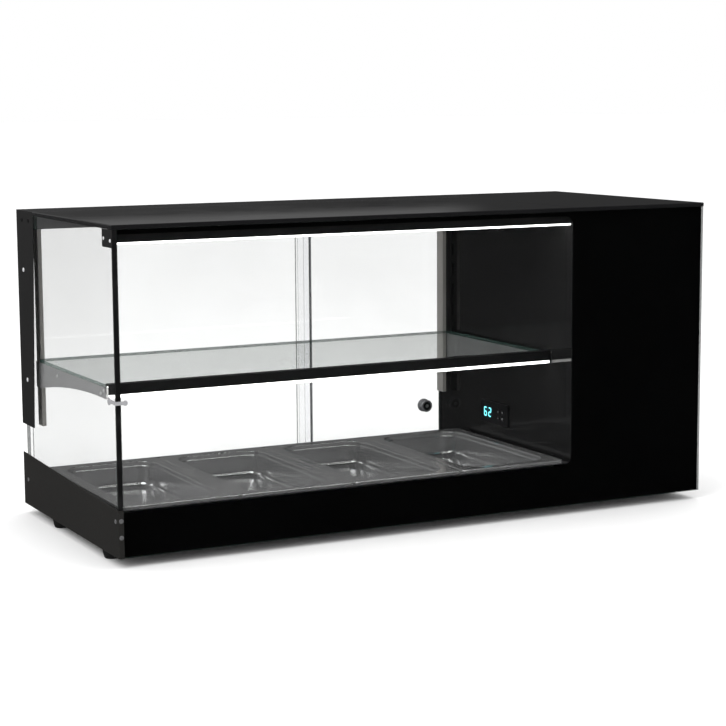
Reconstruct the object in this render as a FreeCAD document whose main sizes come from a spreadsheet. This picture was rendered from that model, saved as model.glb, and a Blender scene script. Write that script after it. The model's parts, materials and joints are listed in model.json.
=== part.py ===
import FreeCAD, Part
import Sketcher
import math
import os

# Countertop hot food display case: a glazed, lit display section with four
# gastronorm pans below a glass shelf, and a closed service compartment on the
# right.  Millimetres, +Z up, +X to the right seen from the customer's side,
# +Y towards the operator's side.  Origin: centre of the footprint, at the
# underside of the feet.

Vec = FreeCAD.Vector
doc = FreeCAD.newDocument("hot_food_display_case")
sheet = doc.addObject("Spreadsheet::Sheet", "Params")
sheet.Label = "Params"


class Dim:
    """A length with the spreadsheet expression that it comes from."""

    def __init__(self, value, text):
        self.v = float(value)
        self.e = text

    def __add__(self, o):
        o = dim(o)
        return Dim(self.v + o.v, "(%s + %s)" % (self.e, o.e))

    __radd__ = __add__

    def __sub__(self, o):
        o = dim(o)
        return Dim(self.v - o.v, "(%s - %s)" % (self.e, o.e))

    def __rsub__(self, o):
        return dim(o) - self

    def __mul__(self, o):
        o = dim(o)
        return Dim(self.v * o.v, "(%s * %s)" % (self.e, o.e))

    __rmul__ = __mul__

    def __truediv__(self, o):
        o = dim(o)
        return Dim(self.v / o.v, "(%s / %s)" % (self.e, o.e))

    def __neg__(self):
        return Dim(-self.v, "(0 - %s)" % self.e)


def dim(x):
    if isinstance(x, Dim):
        return x
    return Dim(x, "%.6g" % x if x >= 0 else "(0 - %.6g)" % -x)


cells = {}


def cell(alias, value):
    row = len(cells) + 1
    sheet.set("A%d" % row, alias)
    sheet.set("B%d" % row, str(value))
    sheet.setAlias("B%d" % row, alias)
    cells[alias] = Dim(value, "Params." + alias)
    return cells[alias]


# ---- driving dimensions ---------------------------------------------------
W = cell("case_width", 960)
D = cell("case_depth", 420)
HB = cell("case_height", 450)
FOOT = cell("foot_height", 14)
ST = cell("sheet_gauge", 1.5)
FG_Y = cell("front_glass_setback", 1)
FG_T = cell("front_glass_gauge", 5)
PRINT_T = cell("front_print_gauge", 0.4)
SG_X = cell("side_glass_setback", 1.6)
SG_T = cell("side_glass_gauge", 6)
ROOF = cell("roof_edge_height", 6)
LID_T = cell("lid_gauge", 2.2)
WALL = cell("inner_wall_position", 724.5)
WIN_R = cell("window_right_edge", 726)
WIN_B = cell("window_bottom_edge", 62)
WIN_T = cell("window_top_edge", 437)
WIN_RAD = cell("window_corner_radius", 14)
SIDE_F = cell("side_panel_front_height", 66)
SIDE_B = cell("side_panel_rear_height", 80)
HEAD_D = cell("header_depth", 77)
HEAD_H = cell("header_height", 26)
POST_Z = cell("post_bottom", 124.5)
POST_TOP = cell("post_top_depth", 81)
POST_LOW = cell("post_bottom_depth", 57)
STD_Y = cell("standard_front_face", 370)
STD_D = cell("standard_depth", 20)
STD_W = cell("standard_width", 6)
STD_T = cell("standard_gauge", 1.2)
STD_XL = cell("standard_left_position", 16)
STD_XR = cell("standard_right_position", 708.2)
SLOT_W = cell("slot_width", 8)
SLOT_Y = cell("slot_centre", 11.5)
SLOT_H = cell("slot_length", 20)
SLOT_P = cell("slot_pitch", 33.6)
SHELF_Z = cell("shelf_top", 228)
SHELF_T = cell("shelf_glass_gauge", 5)
BR_T = cell("bracket_gauge", 2)
BR_REAR = cell("bracket_rear_height", 38.95)
BAR_Y = cell("light_bar_front", 62)
BAR_D = cell("light_bar_depth", 12)
PAN_W = cell("pan_width", 176)
PAN_L = cell("pan_length", 325)
PAN_P = cell("pan_pitch", 177)
PAN_X = cell("pan_first_edge", 8.5)
PAN_Y = cell("pan_front_edge", 9)
PAN_H = cell("pan_height", 40)
PAN_TOP = cell("pan_rim_top", 69)
PAN_FL = cell("pan_rim_width", 18)
PAN_LIP = cell("pan_lip_height", 4.5)
PAN_T = cell("pan_gauge", 1)
DR_T = cell("door_glass_gauge", 4)
DR_Y1 = cell("door_inner_plane", 398)
DR_Y2 = cell("door_outer_plane", 406)
DR_Z0 = cell("door_bottom", 47.3)
DR_Z1 = cell("door_top", 436)
DR_L1 = cell("left_door_right_edge", 478)
DR_R0 = cell("right_door_left_edge", 457)
KNOB_R = cell("knob_radius", 11)
KNOB_X = cell("knob_position", 697)
KNOB_Z = cell("knob_height", 97)
FOOT_R = cell("foot_radius", 14)
FOOT_X = cell("foot_inset", 16)
FOOT_YF = cell("foot_front_line", 72)
FOOT_YB = cell("foot_rear_line", 290)
HEAT_R = cell("heater_tube_radius", 4)
HEAT_Z = cell("heater_height", 20)
FAN_S = cell("fan_frame_size", 80)
FAN_T = cell("fan_frame_depth", 25)
doc.recompute()

# ---- placement and expression helpers -------------------------------------


def row(x, y, z):
    """Case coordinates (left, front, sheet-metal underside) to the row frame."""
    return dim(x) - W / 2, dim(y) - D / 2, dim(z) + FOOT


def bind(obj, prop, value):
    value = dim(value)
    setattr(obj, prop, value.v)
    obj.setExpression(prop, value.e)


def place(obj, x, y, z, rot=None):
    px, py, pz = row(x, y, z)
    obj.Placement = FreeCAD.Placement(Vec(px.v, py.v, pz.v),
                                      rot or FreeCAD.Rotation())
    obj.setExpression("Placement.Base.x", px.e)
    obj.setExpression("Placement.Base.y", py.e)
    obj.setExpression("Placement.Base.z", pz.e)


nodes = {}


def keep(label, obj):
    obj.Label = label
    nodes[label] = obj
    return obj


def box(name, x0, y0, z0, x1, y1, z1):
    o = doc.addObject("Part::Box", name)
    bind(o, "Length", dim(x1) - x0)
    bind(o, "Width", dim(y1) - y0)
    bind(o, "Height", dim(z1) - z0)
    place(o, x0, y0, z0)
    return o


ROT_X = FreeCAD.Rotation(Vec(0, 1, 0), 90)    # cylinder axis along +X
ROT_Y = FreeCAD.Rotation(Vec(1, 0, 0), -90)   # cylinder axis along +Y


def cyl(name, x, y, z, r, length, rot=None):
    o = doc.addObject("Part::Cylinder", name)
    bind(o, "Radius", r)
    bind(o, "Height", length)
    place(o, x, y, z, rot)
    return o


def cut(name, base, tool):
    o = doc.addObject("Part::Cut", name)
    o.Base = base
    o.Tool = tool
    return o


def fuse(name, shapes):
    o = doc.addObject("Part::MultiFuse", name)
    o.Shapes = shapes
    return o


def group(name, shapes):
    o = doc.addObject("Part::Compound", name)
    o.Links = shapes
    return o


class Solid:
    """One PartDesign body, drawn from its own lower left front corner."""

    def __init__(self, name, x, y, z, rot=None):
        self.name = name
        self.n = 0
        self.body = doc.addObject("PartDesign::Body", name)
        place(self.body, x, y, z, rot)
        keep(name, self.body)

    def plane(self, role):
        for f in self.body.Origin.OriginFeatures:
            if f.Role == role:
                return f

    def sketch(self, role, offset=0):
        self.n += 1
        s = self.body.newObject("Sketcher::SketchObject",
                                "%s_sketch%d" % (self.name, self.n))
        s.AttachmentSupport = [(self.plane(role), "")]
        s.MapMode = "FlatFace"
        off = dim(offset)
        if off.v:
            s.AttachmentOffset = FreeCAD.Placement(Vec(0, 0, off.v),
                                                   FreeCAD.Rotation())
            s.setExpression("AttachmentOffset.Base.z", off.e)
        return s

    def _at(self, s, geo, pos, u, v):
        for kind, val, axis in (("DistanceX", dim(u), -2),
                                ("DistanceY", dim(v), -1)):
            if abs(val.v) < 1e-9:
                s.addConstraint(Sketcher.Constraint("PointOnObject",
                                                    geo, pos, axis))
            else:
                i = s.addConstraint(Sketcher.Constraint(
                    kind, -1, 1, geo, pos, val.v))
                s.setExpression("Constraints[%d]" % i, val.e)

    def poly(self, role, pts, offset=0):
        s = self.sketch(role, offset)
        p = [Vec(dim(u).v, dim(v).v, 0) for u, v in pts]
        n = len(p)
        base = s.GeometryCount
        for i in range(n):
            s.addGeometry(Part.LineSegment(p[i], p[(i + 1) % n]), False)
        for i in range(n):
            s.addConstraint(Sketcher.Constraint(
                "Coincident", base + i, 2, base + (i + 1) % n, 1))
        for i in range(n):
            self._at(s, base + i, 1, pts[i][0], pts[i][1])
        return s

    def rect(self, role, u0, v0, u1, v1, offset=0):
        return self.poly(role, [(u0, v0), (u1, v0), (u1, v1), (u0, v1)],
                         offset)

    def circles(self, role, items, offset=0):
        s = self.sketch(role, offset)
        for u, v, r in items:
            g = s.addGeometry(Part.Circle(Vec(dim(u).v, dim(v).v, 0),
                                          Vec(0, 0, 1), dim(r).v), False)
            self._at(s, g, 3, u, v)
            i = s.addConstraint(Sketcher.Constraint("Radius", g, dim(r).v))
            s.setExpression("Constraints[%d]" % i, dim(r).e)
        return s

    def rounded(self, role, u0, v0, u1, v1, r, offset=0):
        """Rectangle with four tangent corner arcs."""
        s = self.sketch(role, offset)
        a, b, c, d = dim(u0), dim(v0), dim(u1), dim(v1)
        r = dim(r)
        A, B, C, E, R = a.v, b.v, c.v, d.v, r.v
        q = math.pi / 2
        Z = Vec(0, 0, 1)
        g = [s.addGeometry(Part.LineSegment(Vec(A + R, B, 0), Vec(C - R, B, 0)), False),
             s.addGeometry(Part.ArcOfCircle(Part.Circle(Vec(C - R, B + R, 0), Z, R), 3 * q, 4 * q), False),
             s.addGeometry(Part.LineSegment(Vec(C, B + R, 0), Vec(C, E - R, 0)), False),
             s.addGeometry(Part.ArcOfCircle(Part.Circle(Vec(C - R, E - R, 0), Z, R), 0, q), False),
             s.addGeometry(Part.LineSegment(Vec(C - R, E, 0), Vec(A + R, E, 0)), False),
             s.addGeometry(Part.ArcOfCircle(Part.Circle(Vec(A + R, E - R, 0), Z, R), q, 2 * q), False),
             s.addGeometry(Part.LineSegment(Vec(A, E - R, 0), Vec(A, B + R, 0)), False),
             s.addGeometry(Part.ArcOfCircle(Part.Circle(Vec(A + R, B + R, 0), Z, R), 2 * q, 3 * q), False)]
        for i in range(8):
            s.addConstraint(Sketcher.Constraint("Tangent", g[i], 2,
                                                g[(i + 1) % 8], 1))
        s.addConstraint(Sketcher.Constraint("Horizontal", g[0]))
        s.addConstraint(Sketcher.Constraint("Horizontal", g[4]))
        s.addConstraint(Sketcher.Constraint("Vertical", g[2]))
        s.addConstraint(Sketcher.Constraint("Vertical", g[6]))
        for i in (3, 5, 7):
            s.addConstraint(Sketcher.Constraint("Equal", g[1], g[i]))
        i = s.addConstraint(Sketcher.Constraint("Radius", g[1], R))
        s.setExpression("Constraints[%d]" % i, r.e)
        for kind, geo, val, axis in (("DistanceX", g[6], a, -2),
                                     ("DistanceX", g[2], c, -2),
                                     ("DistanceY", g[0], b, -1),
                                     ("DistanceY", g[4], d, -1)):
            if abs(val.v) < 1e-9:
                s.addConstraint(Sketcher.Constraint("PointOnObject", geo, 1,
                                                    axis))
            else:
                i = s.addConstraint(Sketcher.Constraint(kind, -1, 1, geo, 1,
                                                        val.v))
                s.setExpression("Constraints[%d]" % i, val.e)
        return s

    def feature(self, kind, s):
        self.n += 1
        f = self.body.newObject("PartDesign::" + kind,
                                "%s_%s%d" % (self.name, kind.lower(), self.n))
        f.Profile = s
        return f

    def pad(self, s, length, back=False):
        f = self.feature("Pad", s)
        bind(f, "Length", length)
        f.Reversed = back
        self.body.Tip = f
        return f

    def pocket(self, s, length, up=False):
        doc.recompute()
        before = self.body.Tip.Shape.Volume
        f = self.feature("Pocket", s)
        bind(f, "Length", length)
        f.Reversed = up
        self.body.Tip = f
        doc.recompute()
        if not f.isValid() or f.Shape.Volume > before - 1e-3:
            f.Reversed = True
            doc.recompute()
        assert f.Shape.Volume < before - 1e-3, self.name + " pocket"
        return f

    def loft(self, kind, s0, s1):
        f = self.feature(kind, s0)
        f.Sections = [s1]
        f.Ruled = True
        self.body.Tip = f
        return f

    def revolve(self, s, axis):
        f = self.feature("Revolution", s)
        f.ReferenceAxis = (s, [axis])
        f.Angle = 360
        self.body.Tip = f
        return f

    def dress(self, kind, size, pick):
        """Fillet or chamfer on the edges that pick() chooses."""
        doc.recompute()
        tip = self.body.Tip
        names = ["Edge%d" % (i + 1)
                 for i, e in enumerate(tip.Shape.Edges) if pick(e)]
        assert names, self.name + " has no such edge"
        self.n += 1
        f = self.body.newObject("PartDesign::" + kind,
                                "%s_%s%d" % (self.name, kind.lower(), self.n))
        f.Base = (tip, names)
        bind(f, "Radius" if kind == "Fillet" else "Size", size)
        self.body.Tip = f
        return f

    def pattern(self, feat, s, axis, length, count, back=False):
        self.n += 1
        f = self.body.newObject("PartDesign::LinearPattern",
                                "%s_pattern%d" % (self.name, self.n))
        f.Originals = [feat]
        f.Direction = (s, [axis])
        f.Reversed = back
        bind(f, "Length", length)
        f.Occurrences = count
        self.body.Tip = f
        return f


def along(axis, **at):
    """Edge test: straight, parallel to an axis, and at the given place."""
    k = "XYZ".index(axis)

    def test(e):
        if len(e.Vertexes) != 2:
            return False
        a, b = e.Vertexes[0].Point, e.Vertexes[1].Point
        d = [abs(a[i] - b[i]) for i in range(3)]
        if d[k] < 1e-6 or any(d[i] > 1e-6 for i in range(3) if i != k):
            return False
        for name, val in at.items():
            i = "xyz".index(name)
            vals = val if isinstance(val, (list, tuple)) else [val]
            if not any(abs(a[i] - dim(q).v) < 1e-3 for q in vals):
                return False
        return True
    return test


def shape(label, s, x=0, y=0, z=0):
    """A free shape, given in case coordinates, set where no feature fits."""
    o = doc.addObject("Part::Feature", label)
    o.Shape = s
    place(o, x, y, z)
    return keep(label, o)


def screw_at(p, d, head_r, head_h, shank_r, shank_l):
    """Pan head screw with a cross recess, head base at p, head along d."""
    p, d = Vec(*p), Vec(*d)
    head = Part.makeCylinder(head_r, head_h, p, d)
    top = [e for e in head.Edges if len(e.Vertexes) == 1
           and abs((e.Vertexes[0].Point - p).dot(d) - head_h) < 1e-6]
    head = head.makeFillet(head_h * 0.6, top)
    shank = Part.makeCylinder(shank_r, shank_l, p, d * -1)
    s = head.fuse(shank)
    side = Vec(0, 0, 1) if abs(d.z) < 0.5 else Vec(1, 0, 0)
    other = d.cross(side)
    depth = head_h * 0.55
    w = head_r * 0.22
    for a, b in ((side, other), (other, side)):
        lo = p + d * (head_h - depth) - a * (head_r * 0.6) - b * w
        pts = [lo, lo + a * (head_r * 1.2), lo + a * (head_r * 1.2) + b * (2 * w),
               lo + b * (2 * w)]
        f = Part.Face(Part.makePolygon(pts + [pts[0]]))
        s = s.cut(f.extrude(d * (depth + 1)))
    return s.removeSplitter()


# ===========================================================================
# Base: floor tray, left side panel, rear panel
# ===========================================================================
TRAY_X, TRAY_Y, TRAY_Z = dim(8.1), dim(7), ST + 0.1
tray_l = W - SG_X - TRAY_X
tray_d = D - ST - 0.1 - TRAY_Y
t = Solid("base_tray", TRAY_X, TRAY_Y, TRAY_Z)
s = t.poly("YZ_Plane", [(0, 0), (tray_d, 0), (tray_d, 40), (tray_d - ST, 40),
                        (tray_d - ST, ST), (ST, ST), (ST, 58), (0, 58)])
t.pad(s, tray_l)
# ventilation slots under the service compartment
s = t.rect("XY_Plane", 770, 120, 850, 125)
p = t.pocket(s, ST)
t.pattern(p, s, "V_Axis", 126, 10)

t = Solid("base_side_left", 0, 0, 0)
s = t.poly("YZ_Plane", [(0, 0), (D, 0), (D, SIDE_B), (0, SIDE_F)])
t.pad(s, ST)
s = t.rect("XY_Plane", 0.2, 0, 7.9, ST)
t.pad(s, SIDE_F)
s = t.rect("XY_Plane", 0.2, 6.8, 40, D - ST - 0.2)
t.pad(s, ST)
t.dress("Fillet", 1.0, along("Z", x=0, y=0))

BR_Y = dim(394)
t = Solid("base_rear_panel", SG_X, BR_Y, 0)
dr = D - BR_Y
s = t.poly("YZ_Plane", [(dr - ST, 0), (dr, 0), (dr, 43.8), (0, 43.8),
                        (0, 43.8 - ST), (dr - ST, 43.8 - ST)])
t.pad(s, WALL - SG_X - 0.4)

# ===========================================================================
# Service compartment on the right
# ===========================================================================
t = Solid("housing_side_right", W - 40, 6.4, 0)
dy = D - 6.4
s = t.poly("XY_Plane", [(40 - ST, 0), (40, 0), (40, dy), (24, dy),
                        (24, dy - ST), (40 - ST, dy - ST)])
t.pad(s, HB - ROOF - 0.2)
s = t.rect("XY_Plane", 0, 0.2, 40 - 0.2, dy - 0.2)
t.pad(s, ST)
# louvre slots for the compartment air
s = t.rect("YZ_Plane", 60, 330, 150, 333.6, offset=40 - ST)
p = t.pocket(s, ST)
t.pattern(p, s, "V_Axis", 81, 10, back=False)

HR_X, HR_Y, HR_Z = WALL + ST + 0.3, dim(414.5), dim(3.4)
hr_w = W - ST - 0.2 - HR_X
t = Solid("housing_rear_panel", HR_X, HR_Y, HR_Z)
s = t.rect("XZ_Plane", 0, 0, hr_w, HB - ROOF - 0.3 - HR_Z)
t.pad(s, ST, back=True)
INLET_X, INLET_Z = dim(905), dim(84)
SW_X, SW_Z = dim(905), dim(125.5)
s = t.rect("XZ_Plane", INLET_X - 14.2 - HR_X, INLET_Z - 10.2 - HR_Z,
           INLET_X + 14.2 - HR_X, INLET_Z + 10.2 - HR_Z)
t.pocket(s, ST)
s = t.rect("XZ_Plane", SW_X - 6.2 - HR_X, SW_Z - 9.2 - HR_Z,
           SW_X + 6.2 - HR_X, SW_Z + 9.2 - HR_Z)
t.pocket(s, ST)
# air slots in front of the fan and lower down
s = t.rect("XZ_Plane", 38, 312, 102, 316)
p = t.pocket(s, ST)
t.pattern(p, s, "V_Axis", 90, 11)
s = t.rect("XZ_Plane", 38, 40, 102, 44)
p = t.pocket(s, ST)
t.pattern(p, s, "V_Axis", 72, 9)

t = Solid("housing_top", WALL + ST + 0.3, 0, HB - ROOF)
ht_w = W - (WALL + ST + 0.3)
s = t.rect("XY_Plane", 0, 0, ht_w, D)
t.pad(s, ROOF)
s = t.rect("XY_Plane", ST, ST, ht_w - ST, D - ST)
t.pocket(s, ROOF - LID_T)
t.dress("Fillet", 1.2, lambda e: abs(e.BoundBox.ZMin - ROOF.v) < 1e-6
        and abs(e.BoundBox.ZMax - ROOF.v) < 1e-6 and len(e.Vertexes) == 2)

t = Solid("roof_panel", 0, 0, HB - ROOF)
s = t.rect("XY_Plane", 0, 0, WALL + ST, D - HEAD_D - 0.4)
t.pad(s, ROOF)
s = t.rect("XY_Plane", ST, ST, WALL, D - HEAD_D - 0.4 - ST)
t.pocket(s, ROOF - LID_T)
t.dress("Fillet", 1.2, lambda e: abs(e.BoundBox.ZMin - ROOF.v) < 1e-6
        and abs(e.BoundBox.ZMax - ROOF.v) < 1e-6 and len(e.Vertexes) == 2)

t = Solid("rear_header", SG_X, D - HEAD_D, HB - HEAD_H)
s = t.poly("YZ_Plane", [(0, 0), (10, 0), (10, ST), (ST, ST),
                        (ST, HEAD_H - ST), (HEAD_D - ST, HEAD_H - ST),
                        (HEAD_D - ST, 6), (HEAD_D, 6), (HEAD_D, HEAD_H),
                        (0, HEAD_H)])
t.pad(s, WALL + ST - SG_X)

t = Solid("inner_wall", WALL, 6.6, 3.4)
wl = HR_Y - 0.3 - 6.6
wh = HB - HEAD_H - 0.3 - 3.4
s = t.poly("YZ_Plane", [(2.2, 0), (wl, 0), (wl, wh), (D - HEAD_D - 0.6 - 6.6, wh),
                        (D - HEAD_D - 0.6 - 6.6, HB - ROOF - 0.3 - 3.4),
                        (0, HB - ROOF - 0.3 - 3.4), (0, 57), (2.2, 57)])
t.pad(s, ST)
CT_Y0, CT_Y1, CT_Z0, CT_Z1 = dim(186), dim(268), dim(91), dim(126)
s = t.rect("YZ_Plane", CT_Y0 + 4.5 - 6.6, CT_Z0 + 3 - 3.4,
           CT_Y1 - 3.5 - 6.6, CT_Z1 - 3 - 3.4)
t.pocket(s, ST)
LEG = [70, 130, 200, 260]
s = t.circles("YZ_Plane", [(y - 6.6, HEAT_Z - 3.4, 3) for y in LEG])
t.pocket(s, ST)

# ===========================================================================
# Glazing
# ===========================================================================
GL_X = dim(8.1)
t = Solid("front_glass", GL_X, FG_Y, 0)
s = t.rect("XY_Plane", 0, 0, W - GL_X, FG_T)
t.pad(s, HB - ROOF - 0.3)

t = Solid("front_print", GL_X, FG_Y + FG_T, 0)
pt = HB - ROOF - 0.3
wr = WIN_R - GL_X
s = t.poly("XZ_Plane", [(0, 0), (W - GL_X, 0), (W - GL_X, pt), (0, pt),
                        (0, WIN_T), (wr, WIN_T), (wr, WIN_B), (0, WIN_B)])
t.pad(s, PRINT_T, back=True)
t.dress("Fillet", WIN_RAD, along("Y", x=wr, z=[WIN_T, WIN_B]))

# the side pane is notched under the rear header
sgy, sgz = FG_Y + FG_T + 0.3, dim(44.1)
t = Solid("side_glass", SG_X, sgy, sgz)
s = t.poly("YZ_Plane", [(0, 0), (405 - sgy, 0), (405 - sgy, HB - HEAD_H - 0.3 - sgz),
                        (D - HEAD_D - 0.3 - sgy, HB - HEAD_H - 0.3 - sgz),
                        (D - HEAD_D - 0.3 - sgy, HB - ROOF - 0.3 - sgz),
                        (0, HB - ROOF - 0.3 - sgz)])
t.pad(s, SG_T)

t = Solid("corner_seal", SG_X, FG_Y, SIDE_F + 0.2)
s = t.rect("XY_Plane", 0, 0, SG_T + 0.3, FG_T + 0.1)
t.pad(s, HB - ROOF - 0.4 - SIDE_F)

a = box("clip_side", 0.45, 0, 209.5, 1.5, 27, 214.5)
b = box("clip_front", 0.45, 0, 209.5, 16, 0.9, 214.5)
c = cyl("clip_disc", 0.05, 27, 212, 5.5, 1.45, ROT_X)
c2 = cyl("clip_button", 14, 0, 212, 3.6, 0.9, ROT_Y)
keep("glass_corner_clip", fuse("glass_corner_clip", [a, b, c, c2]))

# ===========================================================================
# Rear corner post and slotted standards
# ===========================================================================
py = D - POST_TOP
t = Solid("rear_post_left", 0, py, POST_Z)
ph = HB - POST_Z
s = t.poly("YZ_Plane", [(POST_TOP - POST_LOW, 0), (POST_TOP, 0),
                        (POST_TOP, ph), (POST_TOP - HEAD_D, ph),
                        (POST_TOP - HEAD_D, ph - ROOF - 0.3),
                        (0, ph - ROOF - 0.3)])
t.pad(s, ST)
s = t.rect("XY_Plane", 0.2, POST_TOP - ST, 16, POST_TOP)
t.pad(s, ph - 20.5)


def standard(name, x, outward_left):
    """Rectangular tube, slotted on the side that its bracket hooks into."""
    t = Solid(name, x, STD_Y, 125)
    w, d, g = STD_W, STD_D, STD_T
    s = t.rect("XY_Plane", 0, 0, w, d)
    t.pad(s, 321)
    s = t.rect("XY_Plane", g, g, w - g, d - g)
    t.pocket(s, 321)
    s = t.rect("YZ_Plane", SLOT_Y - SLOT_W / 2, 385 - 125 - SLOT_P * 7,
               SLOT_Y + SLOT_W / 2, 385 - 125 - SLOT_P * 7 + SLOT_H,
               offset=dim(0) if outward_left else w - g)
    p = t.pocket(s, g)
    t.pattern(p, s, "V_Axis", SLOT_P * 7, 8)
    return t


standard("slotted_standard_left", STD_XL, True)
standard("slotted_standard_right", STD_XR, False)

# ===========================================================================
# Shelf: two arched bracket plates hooked in the standards, a glass plate, a
# black light bar along its front edge
# ===========================================================================
br_top = SHELF_Z - SHELF_T - 0.05
br_y0, br_y1 = BAR_Y + BAR_D + 0.2, STD_Y + 14
ARCH_R = dim(1500)
for side, x0, tx in (("left", STD_XL - BR_T - 1.2, 1), ("right", STD_XR + STD_W + 1.2, -1)):
    plate = box("bracket_plate_" + side, x0, br_y0, br_top - BR_REAR,
                x0 + BR_T, br_y1, br_top)
    arch = cyl("bracket_arch_" + side, x0 - 1, 100, br_top - 15.5 - ARCH_R,
               ARCH_R, BR_T + 2, ROT_X)
    body = cut("bracket_body_" + side, plate, arch)
    if tx > 0:
        h0, h1 = x0 + BR_T - 0.2, x0 + BR_T + 5
    else:
        h0, h1 = x0 - 5, x0 + 0.2
    hy0 = STD_Y + SLOT_Y - 1.6
    tabs = [box("bracket_hook_%s%d" % (side, i), h0, hy0, z0, h1, hy0 + 3.2, z1)
            for i, (z0, z1) in enumerate(((190, 200), (218.4, 222.4)))]
    keep("shelf_bracket_" + side,
         fuse("shelf_bracket_" + side, [body] + tabs))

t = Solid("shelf_glass", STD_XL - BR_T - 1.2, br_y0 + 0.6, SHELF_Z - SHELF_T)
sg_w = STD_XR + STD_W + 1.2 + BR_T - (STD_XL - BR_T - 1.2)
s = t.rounded("XY_Plane", 0, 0, sg_w, STD_Y - 2 - (br_y0 + 0.6), 4)
t.pad(s, SHELF_T)

t = Solid("shelf_light_bar", STD_XL - BR_T - 1.2, BAR_Y, 214)
bh = SHELF_Z + 1 - 214
s = t.poly("YZ_Plane", [(0, 0), (ST, 0), (ST, bh - ST), (BAR_D - ST, bh - ST),
                        (BAR_D - ST, 0), (BAR_D, 0), (BAR_D, bh), (0, bh)])
t.pad(s, sg_w + 5.6)
t.dress("Fillet", 0.8, along("X", y=0, z=[bh, 0]))
keep("shelf_light_diffuser",
     box("shelf_light_diffuser", STD_XL - BR_T - 0.9, BAR_Y + ST + 0.3, 209.6,
         STD_XL - BR_T - 1.2 + sg_w + 5.3, BAR_Y + BAR_D - ST - 0.3, 225))

# ===========================================================================
# Top light behind the front glass
# ===========================================================================
t = Solid("top_light_housing", GL_X, 7, 426)
lh = HB - ROOF - 0.3 - 426
s = t.poly("YZ_Plane", [(0, 0), (ST, 0), (ST, lh - ST), (33 - ST, lh - ST),
                        (33 - ST, 0), (33, 0), (33, lh), (0, lh)])
t.pad(s, WALL - GL_X - 0.3)

t = Solid("top_light_led_strip", GL_X + 4, 16, 440)
s = t.rect("XY_Plane", 0, 0, WALL - GL_X - 8, 12)
t.pad(s, 1.6)
s = t.rect("XY_Plane", 8, 4, 12, 8)
p = t.pad(s, 1.2, back=True)
t.pattern(p, s, "H_Axis", 17 * 40, 41)

t = Solid("top_light_diffuser", GL_X + 0.4, 9, 423.2)
s = t.rect("YZ_Plane", 0, 0, 28.5, 4.8)
t.pad(s, WALL - GL_X - 1.2)
t.dress("Fillet", 1.2, along("X", z=0))

t = Solid("top_light_end_bracket", 0, 0.3, 419.5)
s = t.poly("YZ_Plane", [(0, 0), (38, 0), (38, 24.1), (0, 24.1)])
t.pad(s, 1.4)
t.dress("Fillet", 2.5, along("X", z=0))

# ===========================================================================
# Rear sliding doors and their tracks
# ===========================================================================
TR_Y, TR_D = dim(394.5), dim(19)
dx0, dx1 = dim(9), WALL - 0.4
g = [2.5, 8.5, 10.5, 16.5]
t = Solid("door_track_bottom", dx0, TR_Y, 44)
s = t.poly("YZ_Plane", [(0, 0), (TR_D, 0), (TR_D, 9), (g[3], 9), (g[3], 3),
                        (g[2], 3), (g[2], 9), (g[1], 9), (g[1], 3), (g[0], 3),
                        (g[0], 9), (0, 9)])
t.pad(s, dx1 - dx0)
t = Solid("door_track_top", dx0, TR_Y, 428)
s = t.poly("YZ_Plane", [(0, 0), (g[0], 0), (g[0], 14), (g[1], 14), (g[1], 0),
                        (g[2], 0), (g[2], 14), (g[3], 14), (g[3], 0),
                        (TR_D, 0), (TR_D, 20.2), (0, 20.2)])
t.pad(s, dx1 - dx0)

t = Solid("door_left_glass", 10, DR_Y1, DR_Z0)
s = t.rounded("XZ_Plane", 0, 0, DR_L1 - 10, DR_Z1 - DR_Z0, 3)
t.pad(s, DR_T, back=True)

t = Solid("door_left_edge", DR_R0 - 1, DR_Y1 - 1.4, 54.5)
e1 = DR_L1 - (DR_R0 - 1)
s = t.poly("XY_Plane", [(0, 0), (e1 + 2, 0), (e1 + 2, DR_T + 2.8),
                        (e1 - 9, DR_T + 2.8), (e1 - 9, DR_T + 1.6),
                        (e1 + 0.4, DR_T + 1.6), (e1 + 0.4, 1.2), (0, 1.2)])
t.pad(s, 427 - 54.5)

t = Solid("door_right_glass", DR_R0, DR_Y2, DR_Z0)
s = t.rounded("XZ_Plane", 0, 0, dx1 - 1 - DR_R0, DR_Z1 - DR_Z0, 3)
t.pad(s, DR_T, back=True)
s = t.circles("XZ_Plane", [(KNOB_X - DR_R0, KNOB_Z - DR_Z0, 3.2)])
t.pocket(s, DR_T)

# knob: turned barrel on the operator's side, clamped through the glass by a
# disc with a central screw
t = Solid("door_knob", KNOB_X, DR_Y2, KNOB_Z, ROT_Y)
s = t.poly("XZ_Plane", [(0, -1.9), (KNOB_R - 1.6, -1.9), (KNOB_R - 0.6, -1.0),
                        (KNOB_R - 0.6, -0.05), (2.9, -0.05), (2.9, DR_T + 0.05),
                        (KNOB_R * 0.72, DR_T + 0.05), (KNOB_R * 0.72, DR_T + 3.2),
                        (KNOB_R, DR_T + 4.6), (KNOB_R, DR_T + 8.4),
                        (KNOB_R - 1.2, DR_T + 9.6), (0, DR_T + 9.6)])
t.revolve(s, "V_Axis")

# ===========================================================================
# Heated well: support frame, divider bars, liner, heaters
# ===========================================================================
fr_top = PAN_TOP - PAN_LIP - 0.1
WF_X, WF_Y = dim(8.3), dim(8.8)
t = Solid("well_frame", WF_X, WF_Y, 50)
fx, fy, fz = WALL - 0.4 - WF_X, dim(336) - WF_Y, fr_top - 50
s = t.rect("XY_Plane", 0, 0, fx, fy, offset=fz - ST)
t.pad(s, ST)
s = t.poly("YZ_Plane", [(fy - ST, 0), (394 - WF_Y, 0), (394 - WF_Y, ST),
                        (fy, ST), (fy, fz), (fy - ST, fz)])
t.pad(s, fx)
s = t.rect("XY_Plane", 24 - WF_X, 24 - WF_Y, 702 - WF_X, 319 - WF_Y,
           offset=fz - ST)
t.pocket(s, ST)

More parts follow.
